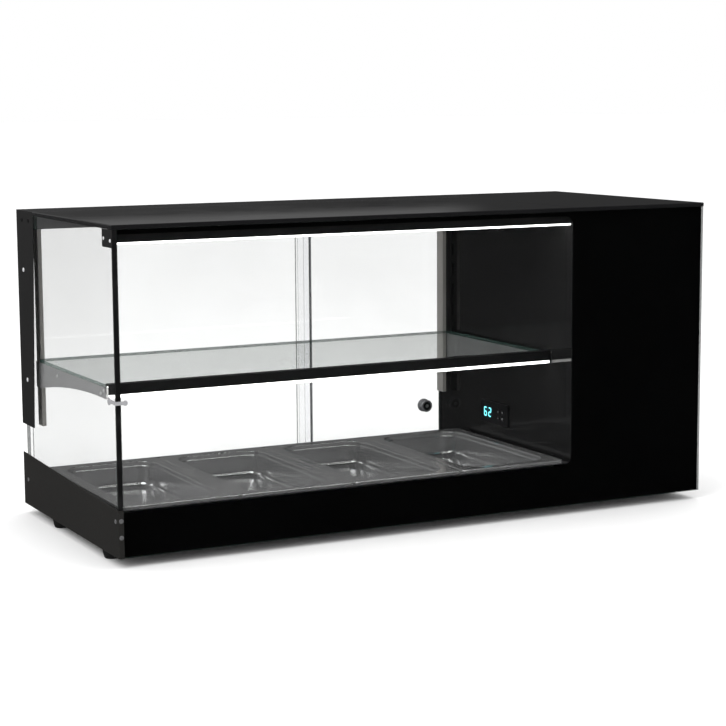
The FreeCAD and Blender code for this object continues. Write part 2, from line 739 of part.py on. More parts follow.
bars = []
for i in (1, 2, 3):
    c0 = PAN_X + PAN_P * i - 0.5
    top = box("bar_top%d" % i, c0 - 7, 24.1, fr_top - ST, c0 + 7, 318.9, fr_top)
    web = box("bar_web%d" % i, c0 - 1, 24.1, fr_top - 12, c0 + 1, 318.9,
              fr_top - ST + 0.2)
    bars.append(fuse("bar%d" % i, [top, web]))
keep("pan_divider_bars", group("pan_divider_bars", bars))

LN_X, LN_Y, LN_Z = dim(17), dim(17), dim(6)
t = Solid("well_liner", LN_X, LN_Y, LN_Z)
lx, ly, lz = 707 - LN_X, 324 - LN_Y, fr_top - ST - 0.2 - LN_Z
s = t.rounded("XY_Plane", 0, 0, lx, ly, 12)
t.pad(s, lz)
s = t.rounded("XY_Plane", 1, 1, lx - 1, ly - 1, 11, offset=1)
t.pocket(s, lz, up=True)
s = t.circles("YZ_Plane", [(y - LN_Y, HEAT_Z - LN_Z, HEAT_R + 0.6) for y in LEG],
              offset=lx)
t.pocket(s, 1)


def tube(points, bend, r):
    """Round bar along straight runs joined by tangent arcs."""
    pts = [Vec(*p) for p in points]
    edges, last = [], pts[0]
    for i in range(1, len(pts) - 1):
        a = (pts[i - 1] - pts[i]).normalize()
        b = (pts[i + 1] - pts[i]).normalize()
        half = a.getAngle(b) / 2
        back = bend / math.tan(half)
        p0, p2 = pts[i] + a * back, pts[i] + b * back
        mid = (a + b).normalize()
        p1 = pts[i] + mid * (bend / math.sin(half) - bend)
        edges.append(Part.LineSegment(last, p0).toShape())
        edges.append(Part.Arc(p0, p1, p2).toShape())
        last = p2
    edges.append(Part.LineSegment(last, pts[-1]).toShape())
    wire = Part.Wire(edges)
    start = (pts[1] - pts[0]).normalize()
    ring = Part.Wire(Part.makeCircle(r, pts[0], start))
    return wire.makePipeShell([ring], True, False)


hz, hr = HEAT_Z.v, HEAT_R.v
pins = []
for ya, yb in ((LEG[0], LEG[1]), (LEG[2], LEG[3])):
    pins.append(tube([(716, ya, hz), (45, ya, hz), (45, yb, hz),
                      (716, yb, hz)], 24, hr))
shape("heater_elements", Part.makeCompound(pins))
keep("heater_supports",
     group("heater_supports",
           [box("heater_support%d" % i, x, 58, LN_Z + 1.05, x + 12, 272,
                HEAT_Z - HEAT_R - 0.1) for i, x in enumerate((120, 350, 580))]))
t = Solid("temperature_probe", 235, 165, LN_Z + 8, ROT_X)
s = t.circles("XY_Plane", [(0, 0, 3)])
t.pad(s, 55)
t.dress("Fillet", 1.4, lambda e: len(e.Vertexes) == 1)

# ===========================================================================
# Pans: four third-size gastronorm pans, drawn with a flat rim and folded lip
# ===========================================================================
for i in range(4):
    t = Solid("pan_%d" % (i + 1), PAN_X + PAN_P * i, PAN_Y, PAN_TOP - PAN_H)
    s = t.rounded("XY_Plane", 0, 0, PAN_W, PAN_L, 9, offset=PAN_H - PAN_LIP)
    t.pad(s, PAN_LIP)
    s = t.rounded("XY_Plane", PAN_T, PAN_T, PAN_W - PAN_T, PAN_L - PAN_T, 8,
                  offset=PAN_H - PAN_LIP)
    t.pocket(s, PAN_LIP - PAN_T)
    lo = PAN_FL + 4
    s0 = t.rounded("XY_Plane", lo, lo, PAN_W - lo, PAN_L - lo, 26)
    up = PAN_FL - PAN_T
    s1 = t.rounded("XY_Plane", up, up, PAN_W - up, PAN_L - up, 30,
                   offset=PAN_H - PAN_T / 2)
    t.loft("AdditiveLoft", s0, s1)
    li = lo + PAN_T
    s2 = t.rounded("XY_Plane", li, li, PAN_W - li, PAN_L - li, 25,
                   offset=PAN_T)
    s3 = t.rounded("XY_Plane", PAN_FL, PAN_FL, PAN_W - PAN_FL, PAN_L - PAN_FL,
                   29, offset=PAN_H)
    t.loft("SubtractiveLoft", s2, s3)

# ===========================================================================
# Feet and fasteners
# ===========================================================================
feet, fscrews = [], []
fh, fr = FOOT.v, FOOT_R.v
for x in (FOOT_X.v, W.v - FOOT_X.v):
    for y in (FOOT_YF.v, FOOT_YB.v):
        prof = Part.makePolygon([Vec(2.3, 0, 0), Vec(2.3, 0, -3.5),
                                 Vec(5.2, 0, -3.5), Vec(5.2, 0, -fh),
                                 Vec(fr - 3.4, 0, -fh), Vec(fr - 2.4, 0, -fh + 1),
                                 Vec(fr, 0, 0), Vec(2.3, 0, 0)])
        f = Part.Face(prof).revolve(Vec(0, 0, 0), Vec(0, 0, 1), 360)
        f.translate(Vec(x, y, 0))
        feet.append(f)
        fscrews.append(screw_at((x, y, -3.6), (0, 0, -1), 4.2, 2.6, 2.0, 8.0))
shape("feet", Part.makeCompound(feet))
shape("foot_screws", Part.makeCompound(fscrews))

HD = 0.9
scr = []


def case_screw(p, d, r=3.1):
    scr.append(screw_at(p, d, r, HD, 1.6, 1.35))


w, d, h = W.v, D.v, HB.v
for y, z in ((393, 436), (362, 436), (391, 361), (387, 195)):
    case_screw((0, y, z), (-1, 0, 0))
for y, z in ((398, 40), (10, 50)):
    case_screw((0, y, z), (-1, 0, 0))
for y, z in ((31, 431), (5.5, 429)):
    case_screw((0, y, z), (-1, 0, 0), 2.4)
for z in (52, 29):
    case_screw((4.2, 0, z), (0, -1, 0))
for y, z in ((398, 40), (14, 50), (398, 420), (14, 420)):
    case_screw((w, y, z), (1, 0, 0))
for x in (40, 362, 690):
    case_screw((x, d, 24), (0, 1, 0))
    case_screw((x, d, 438), (0, 1, 0))
for z in (60, 240, 420):
    case_screw((w - 8, d, z), (0, 1, 0))
shape("case_screws", Part.makeCompound(scr))

ssc = []
xl = (STD_XL - BR_T - 1.2).v
xr = (STD_XR + STD_W + 1.2 + BR_T).v
for y, z in ((283, 213), (81, 218.4), (93, 213)):
    ssc.append(screw_at((xl, y, z), (-1, 0, 0), 2.6, 1.2, 1.5, 1.9))
    ssc.append(screw_at((xr, y, z), (1, 0, 0), 2.6, 1.2, 1.5, 1.9))
shape("shelf_screws", Part.makeCompound(ssc))

# ===========================================================================
# Thermostat controller in the inner wall: face, display digits, four keys
# ===========================================================================
face = box("controller_face", WALL - 2.2, CT_Y0, CT_Z0, WALL, CT_Y1, CT_Z1)
case = box("controller_case", WALL - 0.1, CT_Y0 + 5, CT_Z0 + 3.6, WALL + 60,
           CT_Y1 - 4, CT_Z1 - 3.6)
whole = fuse("controller_whole", [face, case])
KEYS = [(214.5, 112.5), (201.5, 112.5), (214.5, 102), (201.5, 102)]
wells = [box("key_well%d" % i, WALL - 3, y - 4.3, z - 3.3, WALL + 0.6, y + 4.3,
             z + 3.3) for i, (y, z) in enumerate(KEYS)]
keep("controller_body", cut("controller_body", whole,
                            group("key_wells", wells)))
for i, (y, z) in enumerate(KEYS):
    t = Solid("controller_key_%d" % (i + 1), WALL - 2.9, y - 4, z - 3)
    s = t.rounded("YZ_Plane", 0, 0, 8, 6, 1)
    t.pad(s, 2.2)
    t.dress("Fillet", 0.35, lambda e: abs(e.BoundBox.XMin) < 1e-6
            and abs(e.BoundBox.XMax) < 1e-6)

# seven-segment figures, read from inside the case looking towards +X
SEG = {"a": (0, 1, "h"), "b": (1, 1, "v"), "c": (1, 0, "v"), "d": (0, -1, "h"),
       "e": (0, 0, "v"), "f": (0, 1, "v"), "g": (0, 0, "h")}
bars = []
dw, dh, st = 8.4, 15.0, 1.7
for k, (left, segs) in enumerate(((258.5, "acdefg"), (245.0, "abdeg"))):
    z0 = 100.5
    for n in segs:
        if n in "adg":
            z = {"a": z0 + dh - st, "g": z0 + dh / 2 - st / 2, "d": z0}[n]
            bars.append(box("segment_%d%s" % (k, n), WALL - 2.45,
                            left - dw + st * 0.7, z, WALL - 2.2,
                            left - st * 0.7, z + st))
        else:
            y0 = left - st if n in "ef" else left - dw
            lo = z0 + (dh / 2 + st * 0.35 if n in "bf" else st * 0.7)
            hi = z0 + (dh - st * 0.7 if n in "bf" else dh / 2 - st * 0.35)
            bars.append(box("segment_%d%s" % (k, n), WALL - 2.45, y0, lo,
                            WALL - 2.2, y0 + st, hi))
keep("controller_digits", group("controller_digits", bars))

# ===========================================================================
# Electrical pieces in the service compartment
# ===========================================================================
FX, FZ, FY = dim(796.3), dim(362), HR_Y - 0.3 - FAN_T
sq = box("fan_block", FX - FAN_S / 2, FY, FZ - FAN_S / 2, FX + FAN_S / 2,
         FY + FAN_T, FZ + FAN_S / 2)
bore = cyl("fan_bore", FX, FY - 1, FZ, FAN_S / 2 - 2, FAN_T + 2, ROT_Y)
ring = cut("fan_ring", sq, bore)
st1 = box("fan_strut1", FX - FAN_S / 2 + 1, FY + 20, FZ - 2, FX + FAN_S / 2 - 1,
          FY + 23, FZ + 2)
st2 = box("fan_strut2", FX - 2, FY + 20, FZ - FAN_S / 2 + 1, FX + 2, FY + 23,
          FZ + FAN_S / 2 - 1)
motor = cyl("fan_motor", FX, FY + 18.5, FZ, 16, 6, ROT_Y)
shaft = cyl("fan_shaft", FX, FY + 9, FZ, 2, 10, ROT_Y)
keep("fan_frame", fuse("fan_frame", [ring, st1, st2, motor, shaft]))
hub = Part.makeCylinder(17.5, 15, Vec(0, 2.5, 0), Vec(0, 1, 0))
hub = hub.makeFillet(2.0, [e for e in hub.Edges
                           if len(e.Vertexes) == 1
                           and abs(e.Vertexes[0].Y - 2.5) < 1e-6])
rotor = hub
for k in range(7):
    b = Part.makeBox(19.5, 13, 1.6, Vec(16.5, -6.5, -0.8))
    b.rotate(Vec(0, 0, 0), Vec(1, 0, 0), 38)
    b.translate(Vec(0, 10.2, 0))
    b.rotate(Vec(0, 0, 0), Vec(0, 1, 0), 360.0 / 7 * k)
    rotor = rotor.fuse(b)
rim = Part.makeCylinder(36.6, 30, Vec(0, -5, 0), Vec(0, 1, 0))
rotor = rotor.common(rim)
rotor = rotor.cut(Part.makeCylinder(2.05, 12, Vec(0, 8, 0), Vec(0, 1, 0)))
shape("fan_rotor", rotor.removeSplitter(), FX, FY, FZ)

t = Solid("led_driver", 770, 112, TRAY_Z + ST + 0.2)
s = t.rounded("XY_Plane", 0, 0, 104, 42, 2)
t.pad(s, 2)
s = t.rounded("XY_Plane", 10, 0.5, 94, 41.5, 2)
t.pad(s, 30)
t.dress("Fillet", 1.5, lambda e: abs(e.BoundBox.ZMin - 30) < 1e-6)
t = Solid("terminal_block", 880, 24, TRAY_Z + ST + 0.2)
s = t.rect("XY_Plane", 0, 0, 60, 36)
t.pad(s, 14)
s = t.rect("XY_Plane", 0, 10, 60, 26)
t.pad(s, 22)
s = t.rect("XY_Plane", 2, 2, 8, 8, offset=14)
p = t.pocket(s, 4)
t.pattern(p, s, "H_Axis", 50, 6)

lead = []
for i, y in enumerate(LEG):
    x = 734 + 7 * i
    lead.append(tube([(716.1, y, HEAT_Z.v), (x, y, HEAT_Z.v),
                      (x, 29 + 8 * i, HEAT_Z.v), (879.9, 29 + 8 * i, HEAT_Z.v)],
                     10, 1.9))

ix, iz = INLET_X.v, INLET_Z.v
fl = box("inlet_flange", INLET_X - 25, HR_Y + ST, INLET_Z - 13.5, INLET_X + 25,
         HR_Y + ST + 3.2, INLET_Z + 13.5)
bd = box("inlet_case", INLET_X - 14, HR_Y - 17, INLET_Z - 10, INLET_X + 14,
         HR_Y + ST + 0.1, INLET_Z + 10)
whole = fuse("inlet_whole", [fl, bd])
rc = box("inlet_recess", INLET_X - 11.5, HR_Y - 12, INLET_Z - 8, INLET_X + 11.5,
         HR_Y + 8, INLET_Z + 8)
hollow = cut("inlet_hollow", whole, rc)
pins = [box("inlet_pin%d" % i, INLET_X + a - 1, HR_Y - 12.2, INLET_Z + b - 2,
            INLET_X + a + 1, HR_Y + 1, INLET_Z + b + 2)
        for i, (a, b) in enumerate(((-7, -2), (7, -2), (0, 2.5)))]
keep("power_inlet", fuse("power_inlet", [hollow] + pins))

fl = box("switch_flange", SW_X - 7.5, HR_Y + ST, SW_Z - 10.5, SW_X + 7.5,
         HR_Y + ST + 2, SW_Z + 10.5)
bd = box("switch_case", SW_X - 6, HR_Y - 14, SW_Z - 9, SW_X + 6, HR_Y + ST + 0.1,
         SW_Z + 9)
rc = box("switch_well", SW_X - 5, HR_Y - 8, SW_Z - 8.4, SW_X + 5, HR_Y + 6,
         SW_Z + 8.4)
keep("switch_housing", cut("switch_housing", fuse("switch_whole", [fl, bd]), rc))
# rocker, drawn about its pivot and resting tilted to its "on" side
t = Solid("switch_rocker", SW_X - 4.6, HR_Y - 1.6, SW_Z,
          FreeCAD.Rotation(Vec(1, 0, 0), -9))
s = t.poly("YZ_Plane", [(-2, -7.4), (3.6, -7.4), (4.6, 0), (3.6, 7.4),
                        (-2, 7.4)])
t.pad(s, 9.2)

lead.append(tube([(ix, HR_Y.v - 17.1, iz), (ix, 335, iz), (ix, 250, 46),
             (ix, 42, 46), (ix, 42, (TRAY_Z + ST + 22.3).v)],
            14, 3.2))
shape("internal_leads", Part.makeCompound(lead))

# ===========================================================================
# Check and write
# ===========================================================================
doc.recompute()
bad = [o.Name for o in doc.Objects
       if "Invalid" in o.State or "Error" in o.State]
assert not bad, bad
box_all = FreeCAD.BoundBox()
os.makedirs("parts", exist_ok=True)
assert len(nodes) <= 60, len(nodes)
for name, obj in nodes.items():
    sh = obj.Shape
    assert not sh.isNull() and sh.isValid() and sh.Solids, name
    assert all(k.isClosed() for k in sh.Shells), name
    box_all.add(sh.BoundBox)
for name, obj in nodes.items():
    obj.Shape.exportStep("parts/%s.step" % name)
    b = obj.Shape.BoundBox
    print("%-24s solids %2d vol %10.1f  x %7.1f %7.1f  y %7.1f %7.1f  z %6.1f %6.1f"
          % (name, len(obj.Shape.Solids), obj.Shape.Volume, b.XMin + W.v / 2,
             b.XMax + W.v / 2, b.YMin + D.v / 2, b.YMax + D.v / 2,
             b.ZMin - FOOT.v, b.ZMax - FOOT.v))
print(len(nodes), "nodes; overall", box_all)
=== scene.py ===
import json
import math

import bmesh
import bpy
from mathutils import Matrix, Vector


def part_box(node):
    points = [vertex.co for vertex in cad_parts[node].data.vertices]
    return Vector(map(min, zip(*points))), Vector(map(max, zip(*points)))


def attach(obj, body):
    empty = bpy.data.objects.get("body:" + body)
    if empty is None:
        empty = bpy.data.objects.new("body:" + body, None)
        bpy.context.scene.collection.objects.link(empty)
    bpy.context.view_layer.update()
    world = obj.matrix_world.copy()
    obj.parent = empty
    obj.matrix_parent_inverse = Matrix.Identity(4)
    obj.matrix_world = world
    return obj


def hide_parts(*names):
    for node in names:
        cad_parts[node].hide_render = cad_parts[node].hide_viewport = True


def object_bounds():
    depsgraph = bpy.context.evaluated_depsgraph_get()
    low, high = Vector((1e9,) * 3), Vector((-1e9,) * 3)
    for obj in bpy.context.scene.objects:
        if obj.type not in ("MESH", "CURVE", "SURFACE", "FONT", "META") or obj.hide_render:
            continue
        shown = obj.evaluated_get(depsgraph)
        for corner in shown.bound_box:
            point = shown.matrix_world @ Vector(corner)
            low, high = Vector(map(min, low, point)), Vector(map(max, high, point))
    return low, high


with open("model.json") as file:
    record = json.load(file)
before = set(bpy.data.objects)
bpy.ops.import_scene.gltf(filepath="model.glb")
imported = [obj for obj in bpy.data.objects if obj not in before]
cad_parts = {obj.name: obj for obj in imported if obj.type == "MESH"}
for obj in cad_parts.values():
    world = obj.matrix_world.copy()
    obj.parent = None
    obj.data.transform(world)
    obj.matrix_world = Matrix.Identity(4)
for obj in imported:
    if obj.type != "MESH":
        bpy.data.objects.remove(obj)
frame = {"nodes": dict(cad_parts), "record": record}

cad_lo, cad_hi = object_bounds()
NODE = frame["nodes"]
BODY_OF = {n: b for b, ns in frame["record"]["behaviour"]["bodies"].items() for n in ns}

# ---------------------------------------------------------------------------
# Shader helpers
# ---------------------------------------------------------------------------


class Mat:
    """A material with short calls for nodes and links."""

    def __init__(self, name):
        self.m = bpy.data.materials.new(name)
        self.m.use_nodes = True
        self.t = self.m.node_tree
        self.t.nodes.clear()
        self.out = self.t.nodes.new("ShaderNodeOutputMaterial")
        self._obj = None

    def new(self, kind, props=None, **inputs):
        n = self.t.nodes.new("ShaderNode" + kind)
        for k, v in (props or {}).items():
            setattr(n, k, v)
        for k, v in inputs.items():
            self.put(n.inputs[k.replace("_", " ")], v)
        return n

    def put(self, socket, v):
        if isinstance(v, bpy.types.NodeSocket):
            self.t.links.new(v, socket)
        else:
            socket.default_value = v

    def math(self, op, a, b=None, clamp=False):
        n = self.t.nodes.new("ShaderNodeMath")
        n.operation = op
        n.use_clamp = clamp
        self.put(n.inputs[0], a)
        if b is not None:
            self.put(n.inputs[1], b)
        return n.outputs[0]

    def coords(self, scale=(1, 1, 1)):
        """Object coordinates in metres, multiplied by scale."""
        if self._obj is None:
            self._obj = self.t.nodes.new("ShaderNodeTexCoord").outputs["Object"]
        n = self.t.nodes.new("ShaderNodeMapping")
        self.t.links.new(self._obj, n.inputs["Vector"])
        n.inputs["Scale"].default_value = scale
        return n.outputs[0]

    def noise(self, scale, detail=3, rough=0.5, stretch=(1, 1, 1), distort=0.0):
        n = self.t.nodes.new("ShaderNodeTexNoise")
        self.t.links.new(self.coords(stretch), n.inputs["Vector"])
        n.inputs["Scale"].default_value = scale
        n.inputs["Detail"].default_value = detail
        n.inputs["Roughness"].default_value = rough
        n.inputs["Distortion"].default_value = distort
        return n.outputs["Fac"]

    def ramp(self, fac, lo, hi, a, b):
        """Maps fac from lo..hi to a..b."""
        n = self.t.nodes.new("ShaderNodeMapRange")
        self.put(n.inputs["Value"], fac)
        n.inputs["From Min"].default_value = lo
        n.inputs["From Max"].default_value = hi
        self.put(n.inputs["To Min"], a)
        self.put(n.inputs["To Max"], b)
        return n.outputs["Result"]

    def mix(self, fac, a, b):
        n = self.t.nodes.new("ShaderNodeMix")
        n.data_type = "RGBA"
        self.put(n.inputs[0], fac)
        for s, v in ((n.inputs[6], a), (n.inputs[7], b)):
            if isinstance(v, bpy.types.NodeSocket):
                self.t.links.new(v, s)
            else:
                s.default_value = (*v, 1)
        return n.outputs[2]

    def bump(self, height, strength, distance, normal=None):
        n = self.t.nodes.new("ShaderNodeBump")
        self.put(n.inputs["Height"], height)
        n.inputs["Strength"].default_value = strength
        n.inputs["Distance"].default_value = distance
        if normal is not None:
            self.put(n.inputs["Normal"], normal)
        return n.outputs[0]

    def principled(self, **k):
        n = self.t.nodes.new("ShaderNodeBsdfPrincipled")
        for key, v in k.items():
            s = n.inputs[key.replace("_", " ")]
            if isinstance(v, bpy.types.NodeSocket):
                self.t.links.new(v, s)
            elif isinstance(v, tuple) and len(v) == 3:
                s.default_value = (*v, 1)
            else:
                s.default_value = v
        return n

    def surface(self, shader):
        self.t.links.new(shader, self.out.inputs["Surface"])
        return self.m

    def edge_wear_and_highlight(self, radius=0.0011):
        """0 on flats, 1 within a millimetre of a sharp edge."""
        b = self.t.nodes.new("ShaderNodeBevel")
        b.samples = 4
        b.inputs["Radius"].default_value = radius
        g = self.t.nodes.new("ShaderNodeNewGeometry")
        d = self.t.nodes.new("ShaderNodeVectorMath")
        d.operation = "DOT_PRODUCT"
        self.t.links.new(b.outputs[0], d.inputs[0])
        self.t.links.new(g.outputs["Normal"], d.inputs[1])
        return self.ramp(d.outputs["Value"], 0.80, 0.985, 1.0, 0.0)


def coated(name, colour, rough, peel=0.06, edge=0.5, spec=0.5, coat=0.0):
    """Powder coat or wet paint on sheet: orange peel, slight clouding, edges paler,
    partly as rubbed wear and partly as a painted edge highlight."""
    m = Mat(name)
    cloud = m.noise(14, 4, 0.6)
    fine = m.noise(420, 2, 0.6)
    c0 = tuple(x * 0.93 for x in colour)
    c1 = tuple(x * 1.08 for x in colour)
    base = m.mix(m.ramp(cloud, 0.3, 0.7, 0, 1), c0, c1)
    base = m.mix(m.ramp(fine, 0.55, 0.80, 0, 0.5), base, tuple(x * 1.25 for x in colour))
    # edges paler: rubbed wear, and also a painted edge highlight
    edge_wear_and_highlight = m.math("MULTIPLY", m.edge_wear_and_highlight(), m.ramp(m.noise(60, 3), 0.30, 0.65, 0.15, edge))
    base = m.mix(edge_wear_and_highlight, base, tuple(x * 2.0 + 0.016 for x in colour))
    r = m.ramp(fine, 0.25, 0.75, rough * 0.92, rough * 1.08)
    r = m.math("ADD", r, m.ramp(cloud, 0.3, 0.7, -0.01, 0.015), clamp=True)
    b = m.bump(fine, peel, 0.0002)
    p = m.principled(Base_Color=base, Roughness=r, Normal=b, Specular_IOR_Level=spec,
                     Coat_Weight=coat, Coat_Roughness=0.05)
    return m.surface(p.outputs[0])


def header_coat_painted_lit_face(name, face, other, rough):
    """Satin coat, with the strip that faces the light bar painted much paler: painted light from the bar."""
    m = Mat(name)
    cloud = m.noise(14, 4, 0.6)
    fine = m.noise(420, 2, 0.6)
    g = m.t.nodes.new("ShaderNodeNewGeometry")
    sep = m.t.nodes.new("ShaderNodeSeparateXYZ")
    m.t.links.new(g.outputs["Normal"], sep.inputs[0])
    # painted light: faces turned towards the light bar take the pale colour, in place of the bar's light falling on
    # them
    inner = m.ramp(sep.outputs[1], -0.9, -0.4, 1.0, 0.0)
    painted_lit_coat = m.mix(m.ramp(cloud, 0.3, 0.7, 0, 1), tuple(x * 0.94 for x in face), tuple(x * 1.06 for x in face))
    dark = m.mix(m.ramp(cloud, 0.3, 0.7, 0, 1), tuple(x * 0.93 for x in other), tuple(x * 1.08 for x in other))
    base = m.mix(inner, dark, painted_lit_coat)
    top = m.ramp(sep.outputs[2], 0.6, 0.95, 0.0, 1.0)
    r = m.ramp(top, 0.0, 1.0, m.ramp(fine, 0.25, 0.75, rough * 0.92, rough * 1.08), m.ramp(fine, 0.25, 0.75, 0.022, 0.030))
    p = m.principled(Base_Color=base, Roughness=r, Normal=m.bump(fine, 0.003, 0.0002))
    return m.surface(p.outputs[0])


def polished(name, colour, rough, smear=0.03, spec=0.5, contrast=0.06):
    """Gloss black or clear-lacquered sheet with faint wipe marks."""
    m = Mat(name)
    wipe = m.noise(7, 5, 0.6, (1, 3, 1), 0.6)
    fine = m.noise(240, 3, 0.6)
    base = m.mix(m.ramp(wipe, 0.35, 0.7, 0, 1), tuple(x * (1 - contrast) for x in colour),
                 tuple(x * (1 + contrast) for x in colour))
    r = m.math("ADD", m.ramp(wipe, 0.4, 0.75, rough, rough + smear),
               m.ramp(fine, 0.4, 0.7, 0, 0.006), clamp=True)
    b = m.bump(m.noise(26, 2, 0.4), 0.004, 0.0003)
    p = m.principled(Base_Color=base, Roughness=r, Normal=b, Specular_IOR_Level=spec)
    return m.surface(p.outputs[0])


def steel(name, colour, rough, along=(1, 1, 1), grain=0.05, tint=None, aniso=0.0, metal=1.0, spread=0.05):
    """Brushed steel: fine lines where the stretch is small, clouded sheen."""
    m = Mat(name)
    line = m.noise(700, 2, 0.5, along)
    cloud = m.noise(11, 3, 0.45)
    base = m.mix(m.ramp(line, 0.3, 0.7, 0, 1), tuple(x * (1 - spread) for x in colour),
                 tuple(min(1, x * (1 + spread)) for x in colour))
    base = m.mix(m.ramp(cloud, 0.35, 0.75, 0, 0.25), base, tint or tuple(x * 0.90 for x in colour))
    # edges paler: wear, and also a painted edge highlight
    base = m.mix(m.math("MULTIPLY", m.edge_wear_and_highlight(0.0006), 0.35), base, tuple(min(1, x * 1.3 + 0.05) for x in colour))
    r = m.ramp(line, 0.25, 0.75, rough * 0.93, rough * 1.07)
    b = m.bump(line, grain, 0.00002)
    p = m.principled(Base_Color=base, Metallic=metal, Roughness=r, Normal=b, Anisotropic=aniso)
    return m.surface(p.outputs[0])


def moulded(name, colour, rough, grain=0.12, gscale=1500):
    """Moulded plastic with a fine spark-eroded grain."""
    m = Mat(name)
    g = m.noise(gscale, 2, 0.7)
    cloud = m.noise(30, 3, 0.5)
    base = m.mix(m.ramp(cloud, 0.3, 0.7, 0, 1), tuple(x * 0.88 for x in colour),
                 tuple(min(1, x * 1.14) for x in colour))
    # edges paler: wear, and also a painted edge highlight
    base = m.mix(m.math("MULTIPLY", m.edge_wear_and_highlight(0.0006), 0.3), base, tuple(min(1, x * 1.4 + 0.012) for x in colour))
    r = m.ramp(g, 0.3, 0.7, rough * 0.85, min(1, rough * 1.15))
    p = m.principled(Base_Color=base, Roughness=r, Normal=m.bump(g, grain, 0.0001))
    return m.surface(p.outputs[0])


def rubber(name, colour, rough=0.75):
    m = Mat(name)
    g = m.noise(700, 3, 0.7)
    dust = m.noise(55, 4, 0.6)
    base = m.mix(m.ramp(dust, 0.5, 0.8, 0, 0.5), colour, tuple(x * 2.0 + 0.012 for x in colour))
    r = m.ramp(g, 0.3, 0.7, rough * 0.9, min(1, rough * 1.1))
    p = m.principled(Base_Color=base, Roughness=r, Normal=m.bump(g, 0.2, 0.00015),
                     Specular_IOR_Level=0.35)
    return m.surface(p.outputs[0])


def glass(name, axis, tint, edge, gloss=1.0):
    """Pane: clear across its faces, a denser green-grey where light runs along
    the sheet and out at the ground edges."""
    m = Mat(name)
    g = m.t.nodes.new("ShaderNodeNewGeometry")
    sep = m.t.nodes.new("ShaderNodeSeparateXYZ")
    m.t.links.new(g.outputs["Normal"], sep.inputs[0])
    flat = m.math("ABSOLUTE", sep.outputs["XYZ".index(axis)])
    rim = m.ramp(flat, 0.55, 0.9, 1.0, 0.0)
    smear = m.noise(5, 5, 0.62, (1, 1, 1), 0.8)
    # both faces mirror as glass does from outside: a thin pane has no inside
    fres = m.t.nodes.new("ShaderNodeFresnel")
    m.put(fres.inputs["IOR"], m.ramp(g.outputs["Backfacing"], 0, 1, 1.5, 1 / 1.5))
    clear = m.t.nodes.new("ShaderNodeBsdfTransparent")
    m.put(clear.inputs[0], m.mix(m.ramp(smear, 0.45, 0.75, 0, 1), tint, tuple(x * 0.985 for x in tint)))
    shine = m.principled(Base_Color=(0.0, 0.0, 0.0), Metallic=1.0,
                         Roughness=m.ramp(smear, 0.4, 0.8, 0.0, 0.03))
    shine.inputs["Base Color"].default_value = (gloss, gloss, gloss, 1)
    a = m.t.nodes.new("ShaderNodeMixShader")
    m.t.links.new(m.math("MULTIPLY", fres.outputs[0], 0.5), a.inputs[0])
    m.t.links.new(clear.outputs[0], a.inputs[1])
    m.t.links.new(shine.outputs[0], a.inputs[2])
    band = m.noise(60, 3, 0.5, (1, 1, 0.12))
    solid = m.principled(Base_Color=m.mix(m.ramp(band, 0.3, 0.7, 0, 1), edge, tuple(x * 1.5 for x in edge)),
                         Roughness=m.ramp(m.noise(500, 2), 0.3, 0.7, 0.12, 0.25))
    b = m.t.nodes.new("ShaderNodeMixShader")
    m.t.links.new(m.math("MULTIPLY", rim, 0.72), b.inputs[0])
    m.t.links.new(a.outputs[0], b.inputs[1])
    m.t.links.new(solid.outputs[0], b.inputs[2])
    return m.surface(b.outputs[0])


def lit(name, colour, strength, pitch=0.0166):
    """Opal diffuser, a little brighter over each light chip."""
    m = Mat(name)
    sep = m.t.nodes.new("ShaderNodeSeparateXYZ")
    m.t.links.new(m.coords(), sep.inputs[0])
    wave = m.math("COSINE", m.math("MULTIPLY", sep.outputs[0], 2 * math.pi / pitch))
    s = m.ramp(wave, -1, 1, strength * 0.85, strength * 1.15)
    g = m.t.nodes.new("ShaderNodeNewGeometry")
    gs = m.t.nodes.new("ShaderNodeSeparateXYZ")
    m.t.links.new(g.outputs["Normal"], gs.inputs[0])
    s = m.math("MULTIPLY", s, m.ramp(m.math("ABSOLUTE", gs.outputs[0]), 0.5, 0.9, 1.0, 0.0))
    base = m.mix(m.ramp(m.noise(300, 2), 0.3, 0.7, 0, 1), (0.80, 0.80, 0.78), (0.88, 0.88, 0.86))
    p = m.principled(Base_Color=base, Roughness=m.ramp(m.noise(800, 2), 0.3, 0.7, 0.35, 0.5),
                     Emission_Color=(*colour, 1), Emission_Strength=s)
    return m.surface(p.outputs[0])


# ---------------------------------------------------------------------------
# Materials
# ---------------------------------------------------------------------------
BLACK = coated("black_powder_coat", (0.0112, 0.0110, 0.0111), 0.42, 0.02, spec=0.30)
# painted light: a paler copy of the black coat, so the left base side reads lighter than the other black sheet
BLACK_COAT_LIT_COPY = coated("black_coat_painted_lit_side", (0.0165, 0.0157, 0.0145), 0.42, 0.02, spec=0.35)
# the first colour is painted light on the header face towards the light bar
HEADER = header_coat_painted_lit_face("header_coat_painted_lit_face", (0.125, 0.125, 0.127), (0.0135, 0.0135, 0.0145), 0.40)
ROOF = coated("roof_gloss_coat", (0.0075, 0.0075, 0.0080), 0.024, 0.002, 0.3)
WALLM = polished("inner_wall_gloss", (0.0148, 0.0148, 0.0150), 0.035, 0.02, 0.30)
PRINT = polished("black_enamel_print", (0.0013, 0.0013, 0.00135), 0.30, 0.02, 0.12)
SEAL = rubber("black_silicone", (0.004, 0.004, 0.0042), 0.5)
BRACKET = coated("bracket_grey_coat", (0.33, 0.33, 0.332), 0.42, 0.02, 0.25, spec=0.45)
BAR = coated("light_bar_coat", (0.0075, 0.0075, 0.0080), 0.40, 0.02, 0.4)
TRACK = coated("track_black_anodised", (0.010, 0.010, 0.011), 0.34, 0.01)
WELL = coated("well_dark_coat", (0.052, 0.052, 0.056), 0.34, 0.004, 0.35)
